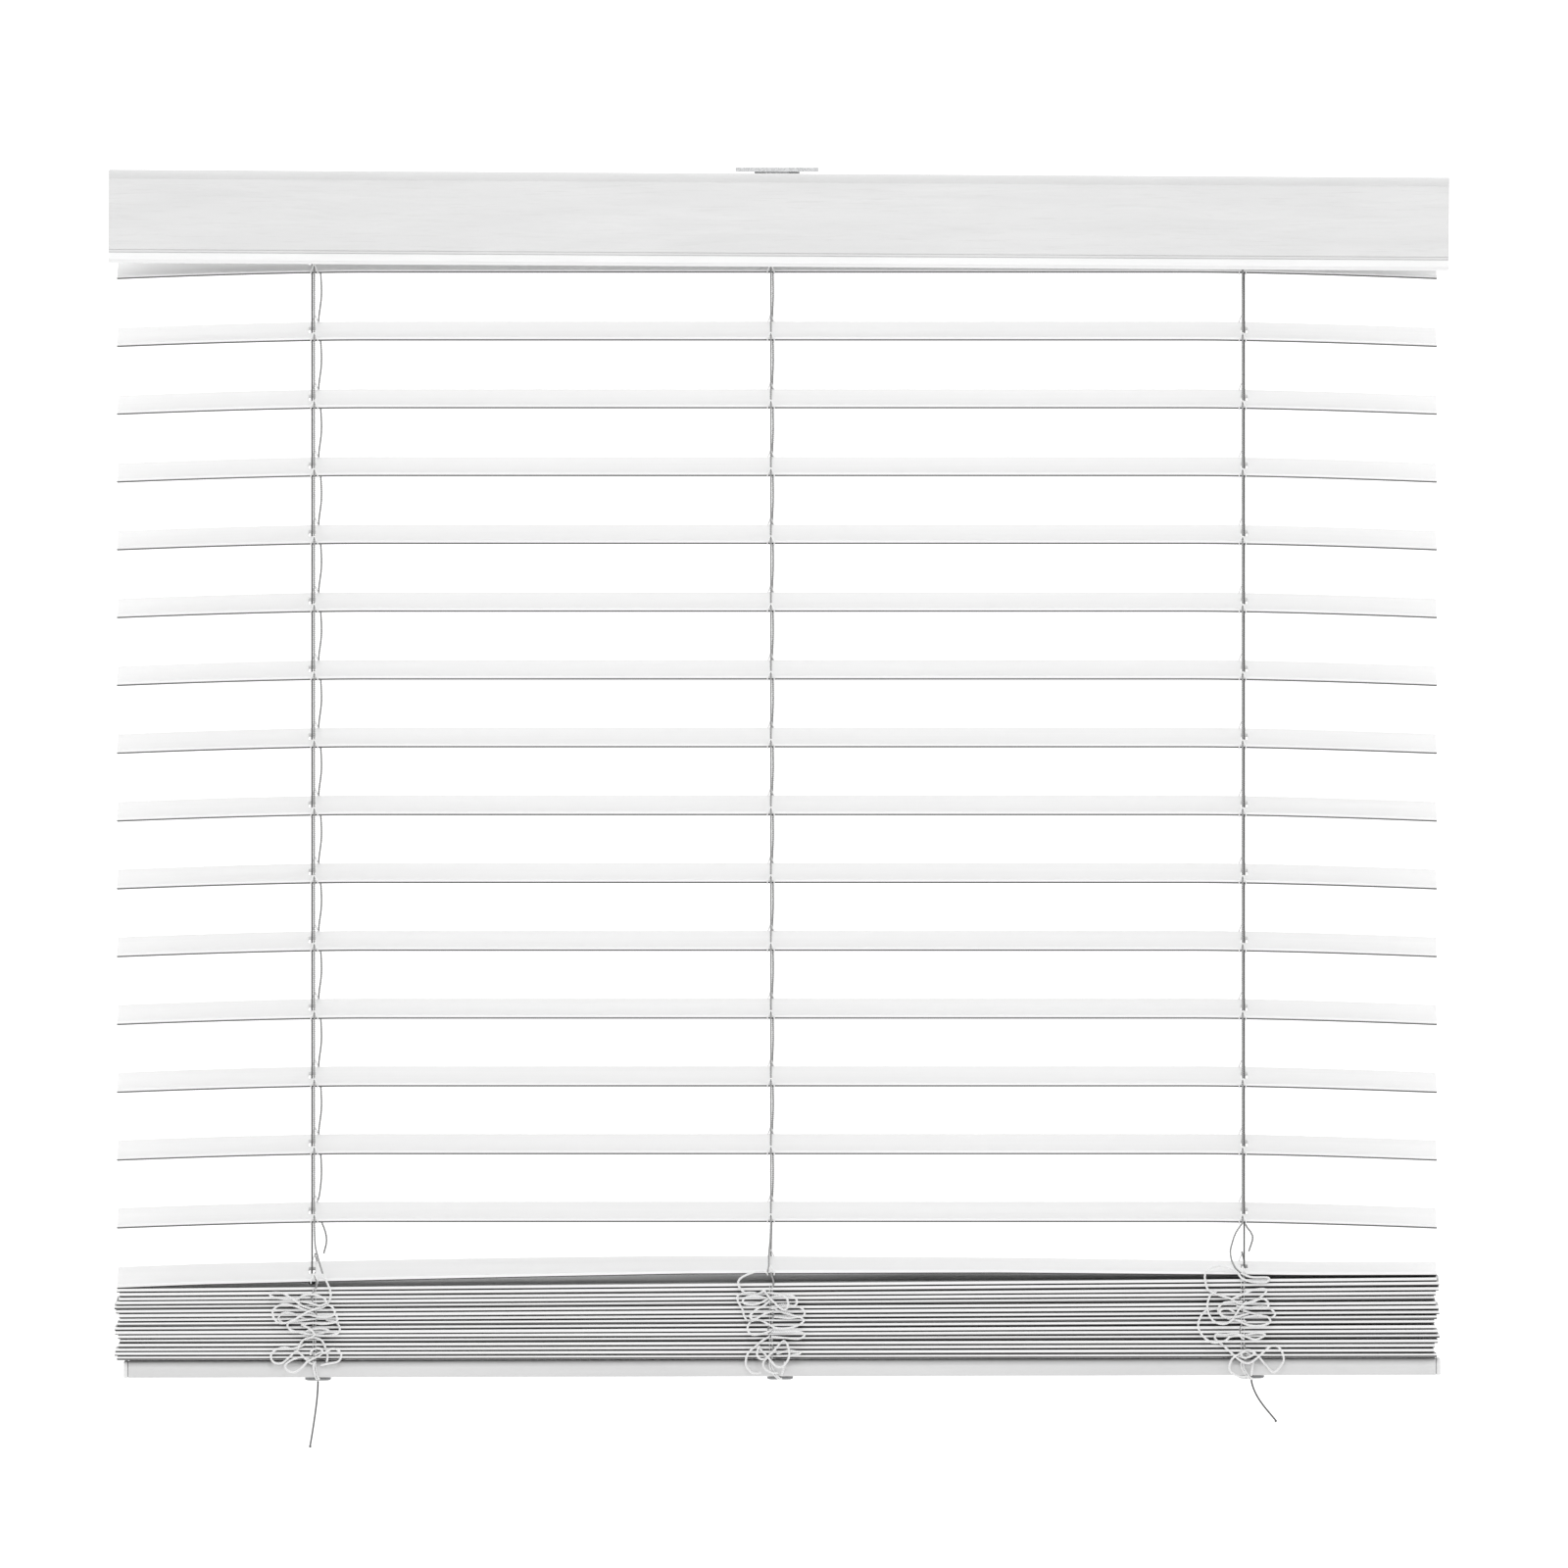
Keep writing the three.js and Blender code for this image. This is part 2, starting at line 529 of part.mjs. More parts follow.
// side is -1 for the string at the front edges of the open slats and 1 for the one at their rear edges.
function addLadderString(name, side) {
  const x = LADDER_X[1];
  const top = FIRST_SLAT_Z + side * EDGE_Z + 1;
  const bottom = LAST_OPEN_Z + side * EDGE_Z - 1;
  addPart(name, cord([[x, side * STRING_Y, top], [x, side * STRING_Y, bottom]], STRING_R, 1), CORD);
}

// ---------------------------------------------------------------- bottom rail

function addBottomRail() {
  const rail = new THREE.Group();
  rail.position.set(BOTTOM_RAIL.shift, 0, BOTTOM_RAIL.top);
  rail.rotation.y = BOTTOM_RAIL_LEAN;
  blind.add(rail);

  const half = BOTTOM_RAIL.depth / 2;
  const { height } = BOTTOM_RAIL;
  const outline = [
    [-half + 3.4, 0], [-half, -4.2], [-half, -height + 1.4], [-half + 1.4, -height],
    [half - 1.4, -height], [half, -height + 1.4], [half, -4.2], [half - 3.4, 0],
  ];
  const bores = PLUG_X.map((x) => barZ(PLUG_BORE_R, x - BOTTOM_RAIL.shift, 0, -height - 1, 1));
  addPart('bottom_rail', cut(alongX(outline, BOTTOM_RAIL.length), ...bores), FAUX_WOOD, rail);

  const cap = alongX(outline, CAP_THICKNESS);
  const capX = BOTTOM_RAIL.length / 2 + CLEAR + CAP_THICKNESS / 2;
  addPart('left_rail_cap', cap.clone().translate(-capX, 0, 0), WHITE_PLASTIC, rail);
  addPart('right_rail_cap', cap.clone().translate(capX, 0, 0), WHITE_PLASTIC, rail);

  // Buttons that close the bores and hold the knotted ends of the cords and strings.
  const profile = [[1.4, -2.4], [7.6, -2.4], [8.7, -1.6], [8.7, -CLEAR], [6.1, -CLEAR], [6.1, 5], [1.4, 5]];
  const closed = [...profile, profile[0]].map(([r, z]) => new THREE.Vector2(r, z));
  const plug = new THREE.LatheGeometry(closed, 16).rotateX(Math.PI / 2);
  ['left_plug', 'middle_plug', 'right_plug'].forEach((name, i) => {
    addPart(name, plug.clone().translate(PLUG_X[i] - BOTTOM_RAIL.shift, 0, -height), WHITE_PLASTIC, rail);
  });
}

// The cut ends of the lift cords hang out of their buttons.
const TAIL_TOP = BOTTOM_RAIL.top - BOTTOM_RAIL.height - 2.4 - CLEAR;

function addCordTails() {
  const plugZ = (x) => TAIL_TOP - Math.tan(BOTTOM_RAIL_LEAN) * (x - BOTTOM_RAIL.shift);
  const leftTail = [
    [0, 0, 0], [-0.2, -0.2, -6], [-0.9, -0.5, -14],
    [-2.2, -0.9, -24], [-3.7, -1.2, -34], [-5.2, -1.4, -43],
  ];
  const rightTail = [
    [0, 0, 0], [0.9, -0.3, -4.5], [3.4, -0.7, -10.5],
    [7.2, -1.1, -16.5], [11.6, -1.3, -22], [16.3, -1.4, -27.6],
  ];
  const placed = (route, x) => route.map(([dx, dy, dz]) => [x + dx, dy, plugZ(x) + dz]);
  addPart('left_cord_tail', cord(placed(leftTail, PLUG_X[0]), CORD_R, 14), CORD);
  addPart('right_cord_tail', cord(placed(rightTail, PLUG_X[2]), CORD_R, 12), CORD);
}

addOpenSlats();
addStackedSlats();
addHeadrail();
addValance();
addValanceClip();
addCentreBracket();
addEndBracket('left_end_bracket', -1);
addEndBracket('right_end_bracket', 1);
addTiltShaft();
addCradle();
addTilterGear();
addTilterWorm();
addTilterHousing();
addLiftShaft();
addSpringMotor();
addLiftCords();
addLadderString('ladder_front', -1);
addLadderString('ladder_rear', 1);
addBottomRail();
addCordTails();

export default blind;
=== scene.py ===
"""The looks of a cordless venetian blind with 2 inch faux-wood slats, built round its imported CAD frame.

Metres, in the frame of the CAD model: +X along the slats, -Y faces the room, +Z up.
Sizes are written in millimetres and multiplied by MM.
"""

import math

import bmesh
import bpy
import numpy as np
from mathutils import Matrix, Vector, noise


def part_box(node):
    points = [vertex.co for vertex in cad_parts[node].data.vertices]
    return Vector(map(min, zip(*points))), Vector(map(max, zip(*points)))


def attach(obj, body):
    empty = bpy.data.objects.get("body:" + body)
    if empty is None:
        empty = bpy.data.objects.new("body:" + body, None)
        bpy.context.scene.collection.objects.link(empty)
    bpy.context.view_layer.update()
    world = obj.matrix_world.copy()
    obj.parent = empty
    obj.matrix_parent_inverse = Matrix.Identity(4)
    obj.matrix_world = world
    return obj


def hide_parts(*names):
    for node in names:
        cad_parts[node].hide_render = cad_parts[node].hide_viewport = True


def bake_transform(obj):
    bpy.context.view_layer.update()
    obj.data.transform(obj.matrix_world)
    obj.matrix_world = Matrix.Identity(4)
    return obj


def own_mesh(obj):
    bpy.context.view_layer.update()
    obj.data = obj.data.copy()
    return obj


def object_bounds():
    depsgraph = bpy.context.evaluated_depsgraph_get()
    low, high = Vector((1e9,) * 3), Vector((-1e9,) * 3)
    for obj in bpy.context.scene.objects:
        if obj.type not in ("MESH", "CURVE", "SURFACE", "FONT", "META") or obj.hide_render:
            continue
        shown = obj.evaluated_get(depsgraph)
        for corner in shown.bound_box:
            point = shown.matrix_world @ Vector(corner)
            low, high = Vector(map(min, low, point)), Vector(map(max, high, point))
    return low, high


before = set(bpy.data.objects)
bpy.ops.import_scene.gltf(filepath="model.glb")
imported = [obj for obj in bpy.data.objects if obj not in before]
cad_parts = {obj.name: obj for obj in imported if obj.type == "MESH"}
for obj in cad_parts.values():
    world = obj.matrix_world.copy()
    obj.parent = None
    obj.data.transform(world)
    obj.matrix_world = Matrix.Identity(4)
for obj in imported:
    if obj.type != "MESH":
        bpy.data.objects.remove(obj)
cad_low, cad_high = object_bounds()

MM = 0.001

# Slats, as in the CAD model
OPEN_SLATS = 15
SLATS = 33
SLAT_LENGTH = 876 * MM
SLAT_DEPTH = 50 * MM
SLAT_THICKNESS = 2.5 * MM
SLAT_ROUND = 0.8 * MM
SLAT_RINGS = 61
END_DROOP = 4.4 * MM
DROOP_START = 280 * MM
DROOP_POWER = 1.5
END_CHAMFER = 0.35 * MM

# A slat's rounded edges take a painted highlight, lighter than its faces, and are painted dark as shade
# below the height where their painted shade begins. The heights are from the slat's middle: one for the open
# slats, one for the two on top of the stack, and four that the other stacked slats take in turn.
EDGE_BAND = 0.75 * MM
EDGE_SHADE = -0.05 * MM
TOP_SHADE = -0.4 * MM
STACK_SHADES = [-0.4 * MM, -0.05 * MM, -0.4 * MM, -0.65 * MM]
FACE_SLOT, HIGHLIGHT_SLOT, SHADE_SLOT = range(3)

# Stations along the slats
STATIONS = {"left": -307 * MM, "middle": -4 * MM, "right": 309 * MM}
LIFT_CORDS = {"left": -308.7 * MM, "right": 310.3 * MM}
ROUT_WIDTH = 4.6 * MM
ROUT_LENGTH = 19 * MM
STRING_RADIUS = 0.68 * MM
STRING_Y = 26.09 * MM
LIFT_CORD_RADIUS = 0.6 * MM

# Camera
CAMERA_DISTANCE = 30
PICTURE_WIDTH = 1040.3 * MM
PICTURE_MIDDLE = Vector((4.7 * MM, -30 * MM, -409 * MM))


def linked(name, data):
    obj = bpy.data.objects.new(name, data)
    bpy.context.scene.collection.objects.link(obj)
    return obj


# ---------------------------------------------------------------- camera


def add_camera():
    """A long lens, level, straight in front of the blind."""
    data = bpy.data.cameras.new("camera")
    data.sensor_width = 36
    data.lens = data.sensor_width * CAMERA_DISTANCE / PICTURE_WIDTH
    data.clip_end = 100
    camera = linked("camera", data)
    camera.location = PICTURE_MIDDLE + Vector((0, -CAMERA_DISTANCE, 0))
    camera.rotation_euler = (math.radians(90), 0, 0)
    bpy.context.scene.camera = camera


add_camera()


# ---------------------------------------------------------------- finishes


class Finish:
    """A Principled material whose colour, roughness and relief come from procedural textures."""

    def __init__(self, name, metallic=0.0, **sockets):
        self.material = bpy.data.materials.new(name)
        self.material.use_nodes = True
        self.nodes = self.material.node_tree.nodes
        self.links = self.material.node_tree.links
        self.shader = self.nodes["Principled BSDF"]
        self.shader.inputs["Metallic"].default_value = metallic
        for socket, value in sockets.items():
            self.shader.inputs[socket.replace("_", " ")].default_value = value
        self.place = self.node("TexCoord").outputs["Object"]
        self.relief = None

    def node(self, kind, **values):
        """A new node, with the sockets of those names set. An underscore stands for a space."""
        node = self.nodes.new(f"ShaderNode{kind}")
        for socket, value in values.items():
            node.inputs[socket.replace("_", " ")].default_value = value
        return node

    def stretched(self, stretch):
        mapping = self.node("Mapping", Scale=stretch)
        self.links.new(self.place, mapping.inputs["Vector"])
        return mapping.outputs["Vector"]

    def noise(self, scale, stretch=(1, 1, 1), detail=4.0, roughness=0.5, distortion=0.0):
        texture = self.node(
            "TexNoise", Scale=scale, Detail=detail, Roughness=roughness, Distortion=distortion
        )
        self.links.new(self.stretched(stretch), texture.inputs["Vector"])
        return texture.outputs["Fac"]

    def cells(self, scale):
        texture = self.node("TexVoronoi", Scale=scale)
        self.links.new(self.stretched((1, 1, 1)), texture.inputs["Vector"])
        return texture.outputs["Color"]

    def diagonal_waves(self, scale, distortion):
        texture = self.node("TexWave", Scale=scale, Distortion=distortion)
        texture.bands_direction = "DIAGONAL"
        self.links.new(self.stretched((1, 1, 1)), texture.inputs["Vector"])
        return texture.outputs["Fac"]

    def edges(self):
        """1 on worn convex edges, 0 elsewhere."""
        point = self.node("NewGeometry").outputs["Pointiness"]
        return self.ranged(point, 0.53, 0.62, 0, 1)

    def gap_shade(self, distance, deep=0.12, clear=0.55):
        """The mask for painted shade: 1 deep in narrow gaps, 0 on open surfaces. deep and clear are the
        openness where each begins.
        """
        occlusion = self.node("AmbientOcclusion", Distance=distance)
        occlusion.samples = 8
        return self.ranged(occlusion.outputs["AO"], deep, clear, 1, 0)

    def ranged(self, value, from_low, from_high, to_low, to_high):
        node = self.node("MapRange", From_Min=from_low, From_Max=from_high, To_Min=to_low, To_Max=to_high)
        self.links.new(value, node.inputs["Value"])
        return node.outputs["Result"]

    def colour(self, factor, dark, light, low=0.3, high=0.7):
        ramp = self.node("ValToRGB")
        for element, place, tone in zip(ramp.color_ramp.elements, (low, high), (dark, light)):
            element.position = place
            element.color = (*tone, 1)
        self.links.new(factor, ramp.inputs["Fac"])
        return ramp.outputs["Color"]

    def mixed(self, factor, first, second):
        node = self.node("Mix")
        node.data_type = "RGBA"
        self.links.new(factor, node.inputs["Factor"])
        for socket, value in (("A", first), ("B", second)):
            target = [s for s in node.inputs if s.name == socket and s.type == "RGBA"][0]
            if isinstance(value, tuple):
                target.default_value = (*value, 1)
            else:
                self.links.new(value, target)
        return [s for s in node.outputs if s.type == "RGBA"][0]

    def paint(self, colour):
        self.links.new(colour, self.shader.inputs["Base Color"])
        return self

    def rough(self, factor, low, high):
        self.links.new(self.ranged(factor, 0.3, 0.7, low, high), self.shader.inputs["Roughness"])
        return self

    def bump(self, height, distance, strength):
        node = self.node("Bump", Strength=strength, Distance=distance)
        self.links.new(height, node.inputs["Height"])
        if self.relief is not None:
            self.links.new(self.relief, node.inputs["Normal"])
        self.relief = node.outputs["Normal"]
        self.links.new(self.relief, self.shader.inputs["Normal"])
        return self


def grey(value, warmth=0.0):
    return (value + warmth, value, value - warmth)


def slat_finish(name="slat_white", dark=0.77, light=0.82, deep=0.05, clear=0.3):
    """Satin paint on extruded foam: faint streaks along the slat, a very fine peel and painted shade in the
    gaps.
    """
    finish = Finish(name, Specular_IOR_Level=0.45)
    streaks = finish.noise(90, (0.06, 1, 1), detail=5)
    clouds = finish.noise(14, (0.3, 1, 1), detail=3)
    base = finish.colour(streaks, grey(dark), grey(light))
    soiled = finish.mixed(finish.ranged(clouds, 0.35, 0.75, 0, 0.25), base, grey(dark * 0.95, 0.004))
    # Painted shade: the colour goes nearly black where a narrow gap is close by.
    finish.paint(finish.mixed(finish.gap_shade(10 * MM, deep, clear), soiled, grey(dark * 0.05)))
    finish.rough(streaks, 0.36, 0.5)
    finish.bump(streaks, 0.05 * MM, 0.5)
    return finish.bump(finish.noise(2600, detail=2), 0.02 * MM, 0.6).material


def valance_finish(name="valance_white", dark=0.73, light=0.775):
    """The same paint over embossed wood grain: the deep lines are in the mesh, and fine pores are here."""
    finish = Finish(name, Specular_IOR_Level=0.45)
    pores = finish.noise(900, (0.045, 1, 1), detail=6, roughness=0.6)
    bands = finish.noise(70, (0.12, 1, 1), detail=4, distortion=0.8)
    base = finish.colour(bands, grey(dark), grey(light))
    finish.paint(finish.mixed(finish.ranged(pores, 0.32, 0.44, 0.5, 0), base, grey(dark * 0.93, 0.003)))
    finish.rough(bands, 0.4, 0.54)
    finish.bump(bands, 0.12 * MM, 0.5)
    return finish.bump(pores, 0.07 * MM, 0.7).material


def rail_finish():
    finish = Finish("rail_white", Specular_IOR_Level=0.45)
    streaks = finish.noise(120, (0.05, 1, 1), detail=5)
    scuffs = finish.noise(60, (0.4, 1, 1), detail=8, roughness=0.7)
    base = finish.colour(streaks, grey(0.68), grey(0.73))
    finish.paint(finish.mixed(finish.ranged(scuffs, 0.58, 0.74, 0, 0.3), base, grey(0.6)))
    finish.rough(scuffs, 0.38, 0.55)
    finish.bump(streaks, 0.06 * MM, 0.6)
    return finish.bump(finish.noise(2200, detail=2), 0.02 * MM, 0.5).material


def painted_steel():
    finish = Finish("painted_steel", Specular_IOR_Level=0.5, Coat_Weight=0.15, Coat_Roughness=0.25)
    peel = finish.noise(1500, detail=2)
    rolling = finish.noise(40, (0.02, 1, 1), detail=4)
    base = finish.colour(rolling, grey(0.70), grey(0.75))
    finish.paint(finish.mixed(finish.edges(), base, grey(0.62)))
    finish.rough(finish.noise(35, (0.3, 1, 1), detail=6), 0.28, 0.44)
    finish.bump(rolling, 0.08 * MM, 0.3)
    return finish.bump(peel, 0.03 * MM, 0.5).material


def zinc_steel():
    """Galvanised sheet: flat spangles, drawing lines and dull scratches."""
    finish = Finish("zinc_steel", metallic=1.0)
    spangle = finish.cells(900)
    lines = finish.noise(700, (0.05, 1, 1), detail=4)
    base = finish.colour(spangle, grey(0.7, -0.008), grey(0.82, -0.008), 0.1, 0.9)
    finish.paint(finish.mixed(finish.ranged(lines, 0.6, 0.72, 0, 0.5), base, grey(0.86, -0.005)))
    finish.rough(spangle, 0.26, 0.42)
    finish.bump(lines, 0.02 * MM, 0.5)
    return finish.bump(spangle, 0.015 * MM, 0.4).material


def spring_steel():
    finish = Finish("spring_steel", metallic=1.0)
    lines = finish.noise(900, (1, 0.03, 1), detail=4)
    finish.paint(finish.colour(lines, grey(0.30, 0.01), grey(0.46, 0.006)))
    finish.rough(lines, 0.22, 0.36)
    return finish.bump(lines, 0.02 * MM, 0.6).material


def plastic(name, dark, light, low, high, **sockets):
    """Moulded plastic: a fine spark texture, flow marks and lighter rubbed edges."""
    finish = Finish(name, Specular_IOR_Level=0.5, **sockets)
    flow = finish.noise(55, (1, 1, 0.4), detail=4, distortion=1.2)
    rubbed = tuple(min(1, tone + 0.06) for tone in light)
    finish.paint(finish.mixed(finish.edges(), finish.colour(flow, dark, light), rubbed))
    finish.rough(flow, low, high)
    finish.bump(flow, 0.03 * MM, 0.3)
    return finish.bump(finish.noise(3200, detail=2), 0.015 * MM, 0.6).material


def cord_finish(name, dark, light):
    """Braided polyester: a close diagonal weave, fuzz, faint soiling and painted shade in the grooves
    between strands.
    """
    finish = Finish(name, Specular_IOR_Level=0.2, Sheen_Weight=0.15, Sheen_Roughness=0.6)
    weave = finish.diagonal_waves(420, 1.5)
    fuzz = finish.noise(5200, detail=3)
    soil = finish.noise(45, (1, 1, 0.5), detail=4)
    base = finish.colour(weave, grey(dark), grey(light), 0.1, 0.6)
    soiled = finish.mixed(finish.ranged(soil, 0.45, 0.75, 0, 0.3), base, grey(dark, 0.008))
    # Painted shade: the colour darkens in the grooves between the strands.
    finish.paint(finish.mixed(finish.gap_shade(1.2 * MM), soiled, grey(dark * 0.15)))
    finish.rough(fuzz, 0.75, 0.95)
    finish.bump(weave, 0.12 * MM, 0.7)
    return finish.bump(fuzz, 0.05 * MM, 0.5).material


FINISHES = {
    "slat_white": slat_finish(),
    # Painted highlight: lighter paint for the slats' upper edges and for the face of the slat under the
    # valance.
    "slat_highlight": slat_finish("slat_highlight", 0.9, 0.95),
    # Painted shade: near-black paint for the lower edges of the slats.
    "slat_edge_shade": slat_finish("slat_edge_shade", 0.12, 0.15, 0.5, 0.95),
    # Painted shade: the stacked slats' faces are painted dark in their narrow gaps.
    "stack_white_shaded": slat_finish("stack_white_shaded", 0.77, 0.82, 0.35, 0.9),
    "valance_white": valance_finish(),
    # Painted highlight: the valance's bead and foot are painted lighter, as if catching light from above.
    "valance_bead_highlight": valance_finish("valance_bead_highlight", 0.9, 0.94),
    "rail_white": rail_finish(),
    "painted_steel": painted_steel(),
    "zinc_steel": zinc_steel(),
    "spring_steel": spring_steel(),
    "clear_plastic": plastic(
        "clear_plastic", grey(0.86, -0.01), grey(0.93, -0.008), 0.08, 0.2,
        Transmission_Weight=0.85, IOR=1.49,
    ),
    "white_plastic": plastic("white_plastic", grey(0.72), grey(0.78), 0.3, 0.44),
    "grey_plastic": plastic("grey_plastic", grey(0.2, -0.004), grey(0.25, -0.004), 0.34, 0.5),
    "cord": cord_finish("cord", 0.88, 0.97),
    # Painted shade: the ladder strings are a darker copy of the white cord, as they fall dark against the
    # bright backdrop.
    "ladder_cord": cord_finish("ladder_cord", 0.3, 0.44),
    # Painted shade: the lift cords are painted dark, as they fall dark against the bright backdrop.
    "lift_cord": cord_finish("lift_cord", 0.1, 0.18),
}


# ---------------------------------------------------------------- mesh helpers


def add_object(name, mesh, finish, body=None):
    obj = linked(name, mesh)
    if not mesh.materials:
        mesh.materials.append(FINISHES[finish])
    if body:
        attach(obj, body)
    return obj


def middle_x(node):
    low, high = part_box(node)
    return (low.x + high.x) / 2


def smooth(mesh, angle):
    mesh.polygons.foreach_set("use_smooth", [True] * len(mesh.polygons))
    mesh.set_sharp_from_angle(angle=math.radians(angle))
    return mesh


def loft(name, rings):
    """A closed skin through rings of points, each ring running the same way round."""
    points = np.concatenate(rings)
    count = len(rings[0])
    faces = []
    for layer in range(len(rings) - 1):
        for i in range(count):
            j = (i + 1) % count
            here, there = layer * count, (layer + 1) * count
            faces.append((here + i, here + j, there + j, there + i))
    faces.append(tuple(range(count))[::-1])
    faces.append(tuple(range(len(points) - count, len(points))))
    mesh = bpy.data.meshes.new(name)
    mesh.from_pydata(points.tolist(), [], faces)
    outward(mesh)
    return mesh


def outward(mesh):
    work = bmesh.new()
    work.from_mesh(mesh)
    bmesh.ops.recalc_face_normals(work, faces=work.faces)
    work.to_mesh(mesh)
    work.free()


def joined(name, meshes):
    work = bmesh.new()
    for mesh in meshes:
        work.from_mesh(mesh)
        bpy.data.meshes.remove(mesh)
    made = bpy.data.meshes.new(name)
    work.to_mesh(made)
    work.free()
    return made


def applied(obj):
    """The object's mesh with its modifiers applied."""
    graph = bpy.context.evaluated_depsgraph_get()
    return bpy.data.meshes.new_from_object(obj.evaluated_get(graph))


def cut(mesh, cutters):
    """mesh without what the cutter meshes fill."""
    body = linked("cutting", mesh)
    tools = []
    for cutter in cutters:
        tool = linked("cutter", cutter)
        modifier = body.modifiers.new("cut", "BOOLEAN")
        modifier.operation = "DIFFERENCE"
        modifier.solver = "EXACT"
        modifier.object = tool
        tools.append(tool)
    made = applied(body)
    for obj in [body, *tools]:
        bpy.data.objects.remove(obj)
    made.name = mesh.name
    return made


def arc(middle, radius, start, end, steps):
    """Points on an arc in a plane, angles in degrees."""
    turns = np.radians(np.linspace(start, end, steps + 1))
    return [(middle[0] + radius * math.cos(t), middle[1] + radius * math.sin(t)) for t in turns]


def lathe(name, profile, segments):
    """A turned solid about Z from (radius, height) points that close on themselves or end on the axis."""
    rings = []
    for turn in np.linspace(0, 2 * math.pi, segments, endpoint=False):
        rings.append([(r * math.cos(turn), r * math.sin(turn), z) for r, z in profile])
    count = len(profile)
    faces = []
    for i in range(segments):
        here, there = i * count, ((i + 1) % segments) * count
        for j in range(count):
            k = (j + 1) % count
            faces.append((here + j, there + j, there + k, here + k))
    mesh = bpy.data.meshes.new(name)
    mesh.from_pydata([p for ring in rings for p in ring], [], faces)
    outward(mesh)
    return mesh


# ---------------------------------------------------------------- cords and strings


def curve_through(points, step):
    """A Catmull-Rom curve through the points, resampled evenly at about that step."""
    p = np.array(points, float)
    if len(p) > 2:
        p = np.vstack([2 * p[0] - p[1], p, 2 * p[-1] - p[-2]])
        dense = []
        for a, b, c, d in zip(p[:-3], p[1:-2], p[2:-1], p[3:]):
            t = np.linspace(0, 1, 16, endpoint=False)[:, None]
            square = (2 * a - 5 * b + 4 * c - d) * t**2
            cube = (3 * b - a - 3 * c + d) * t**3
            dense.append(0.5 * (2 * b + (c - a) * t + square + cube))
        p = np.vstack([*dense, p[-2:-1]])
    lengths = np.concatenate([[0], np.cumsum(np.linalg.norm(np.diff(p, axis=0), axis=1))])
    count = max(3, round(lengths[-1] / step) + 1)
    wanted = np.linspace(0, lengths[-1], count)
    return np.stack([np.interp(wanted, lengths, p[:, axis]) for axis in range(3)], axis=1)


def frames_along(path):
    """A normal and a binormal at each point, carried along without twisting."""
    tangents = np.gradient(path, axis=0)
    tangents /= np.linalg.norm(tangents, axis=1)[:, None]
    start = np.array([0.0, 1.0, 0.0]) if abs(tangents[0][1]) < 0.9 else np.array([1.0, 0.0, 0.0])
    normals = []
    normal = start
    for tangent in tangents:
        normal = normal - tangent * (normal @ tangent)
        normal = normal / np.linalg.norm(normal)
        normals.append(normal)
    normals = np.array(normals)
    return normals, np.cross(tangents, normals)


def tube(name, path, radius, sides, flat=1.0):
    """A closed tube round a path. flat squeezes it along the frame's normal."""
    normals, binormals = frames_along(path)
    turns = np.linspace(0, 2 * math.pi, sides, endpoint=False)
    rings = [
        point + radius * (flat * np.cos(turns)[:, None] * normal + np.sin(turns)[:, None] * binormal)
        for point, normal, binormal in zip(path, normals, binormals)
    ]
    return smooth(loft(name, rings), 60)


def twisted(name, points, radius=STRING_RADIUS, lay=2.6 * MM):
    """A string of two strands that wind round each other once every lay."""
    path = curve_through(points, lay / 7)
    normals, binormals = frames_along(path)
    along = np.concatenate([[0], np.cumsum(np.linalg.norm(np.diff(path, axis=0), axis=1))])
    meshes = []
    for strand in range(2):
        turn = 2 * math.pi * (along / lay + strand / 2)
        offset = np.cos(turn)[:, None] * normals + np.sin(turn)[:, None] * binormals
        meshes.append(tube(name, path + 0.5 * radius * offset, 0.56 * radius, 5))
    return smooth(joined(name, meshes), 60)


def blended(name, mesh, finish, first, second, start, end):
    """A new piece, its place baked into its mesh."""
    obj = add_object(name, mesh, finish)
    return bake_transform(obj)


# The cut ends of the lift cords hang out of their buttons. Each route starts under its button.
TAIL_ROUTES = {
    "left": [
        (0, 0, 0), (-0.2, -0.2, -6), (-0.9, -0.5, -14), (-2.2, -0.9, -24), (-3.7, -1.2, -34),
        (-5.2, -1.4, -43),
    ],
    "right": [
        (0, 0, 0), (0.9, -0.3, -4.5), (3.4, -0.7, -10.5), (7.2, -1.1, -16.5), (11.6, -1.3, -22),
        (16.3, -1.4, -27.6),
    ],
}

# The swollen cut end of a tail: (radius, height) in mm from the end of the route.
TAIL_TIP = [(0.02, 0.5), (0.62, 0.35), (0.85, -0.3), (0.72, -0.95), (0.3, -1.3), (0.02, -1.35)]


def add_cord_tails():
    for side, route in TAIL_ROUTES.items():
        start = Vector((middle_x(f"{side}_plug"), 0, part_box(f"{side}_cord_tail")[1].z))
        path = curve_through([start + Vector(p) * MM for p in route], 1.4 * MM)
        data = bpy.data.curves.new(f"{side}_tail", "CURVE")
        data.dimensions = "3D"
        data.bevel_depth = LIFT_CORD_RADIUS
        data.bevel_resolution = 4
        data.use_fill_caps = True
        spline = data.splines.new("POLY")
        spline.points.add(len(path) - 1)
        for point, place in zip(spline.points, path):
            point.co = (*place, 1)
        tail = linked(f"{side}_tail", data)
        data.materials.append(FINISHES["lift_cord"])
        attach(tail, "bottom_rail")
        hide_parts(f"{side}_cord_tail")
        tip = lathe(f"{side}_tail_tip", TAIL_TIP, 16)
        tip.transform(Matrix.Translation(path[-1]) @ Matrix.Scale(MM, 4))
        tip_piece = add_object(f"{side}_tail_tip", smooth(tip, 35), "lift_cord", "bottom_rail")


add_cord_tails()


# ---------------------------------------------------------------- slats


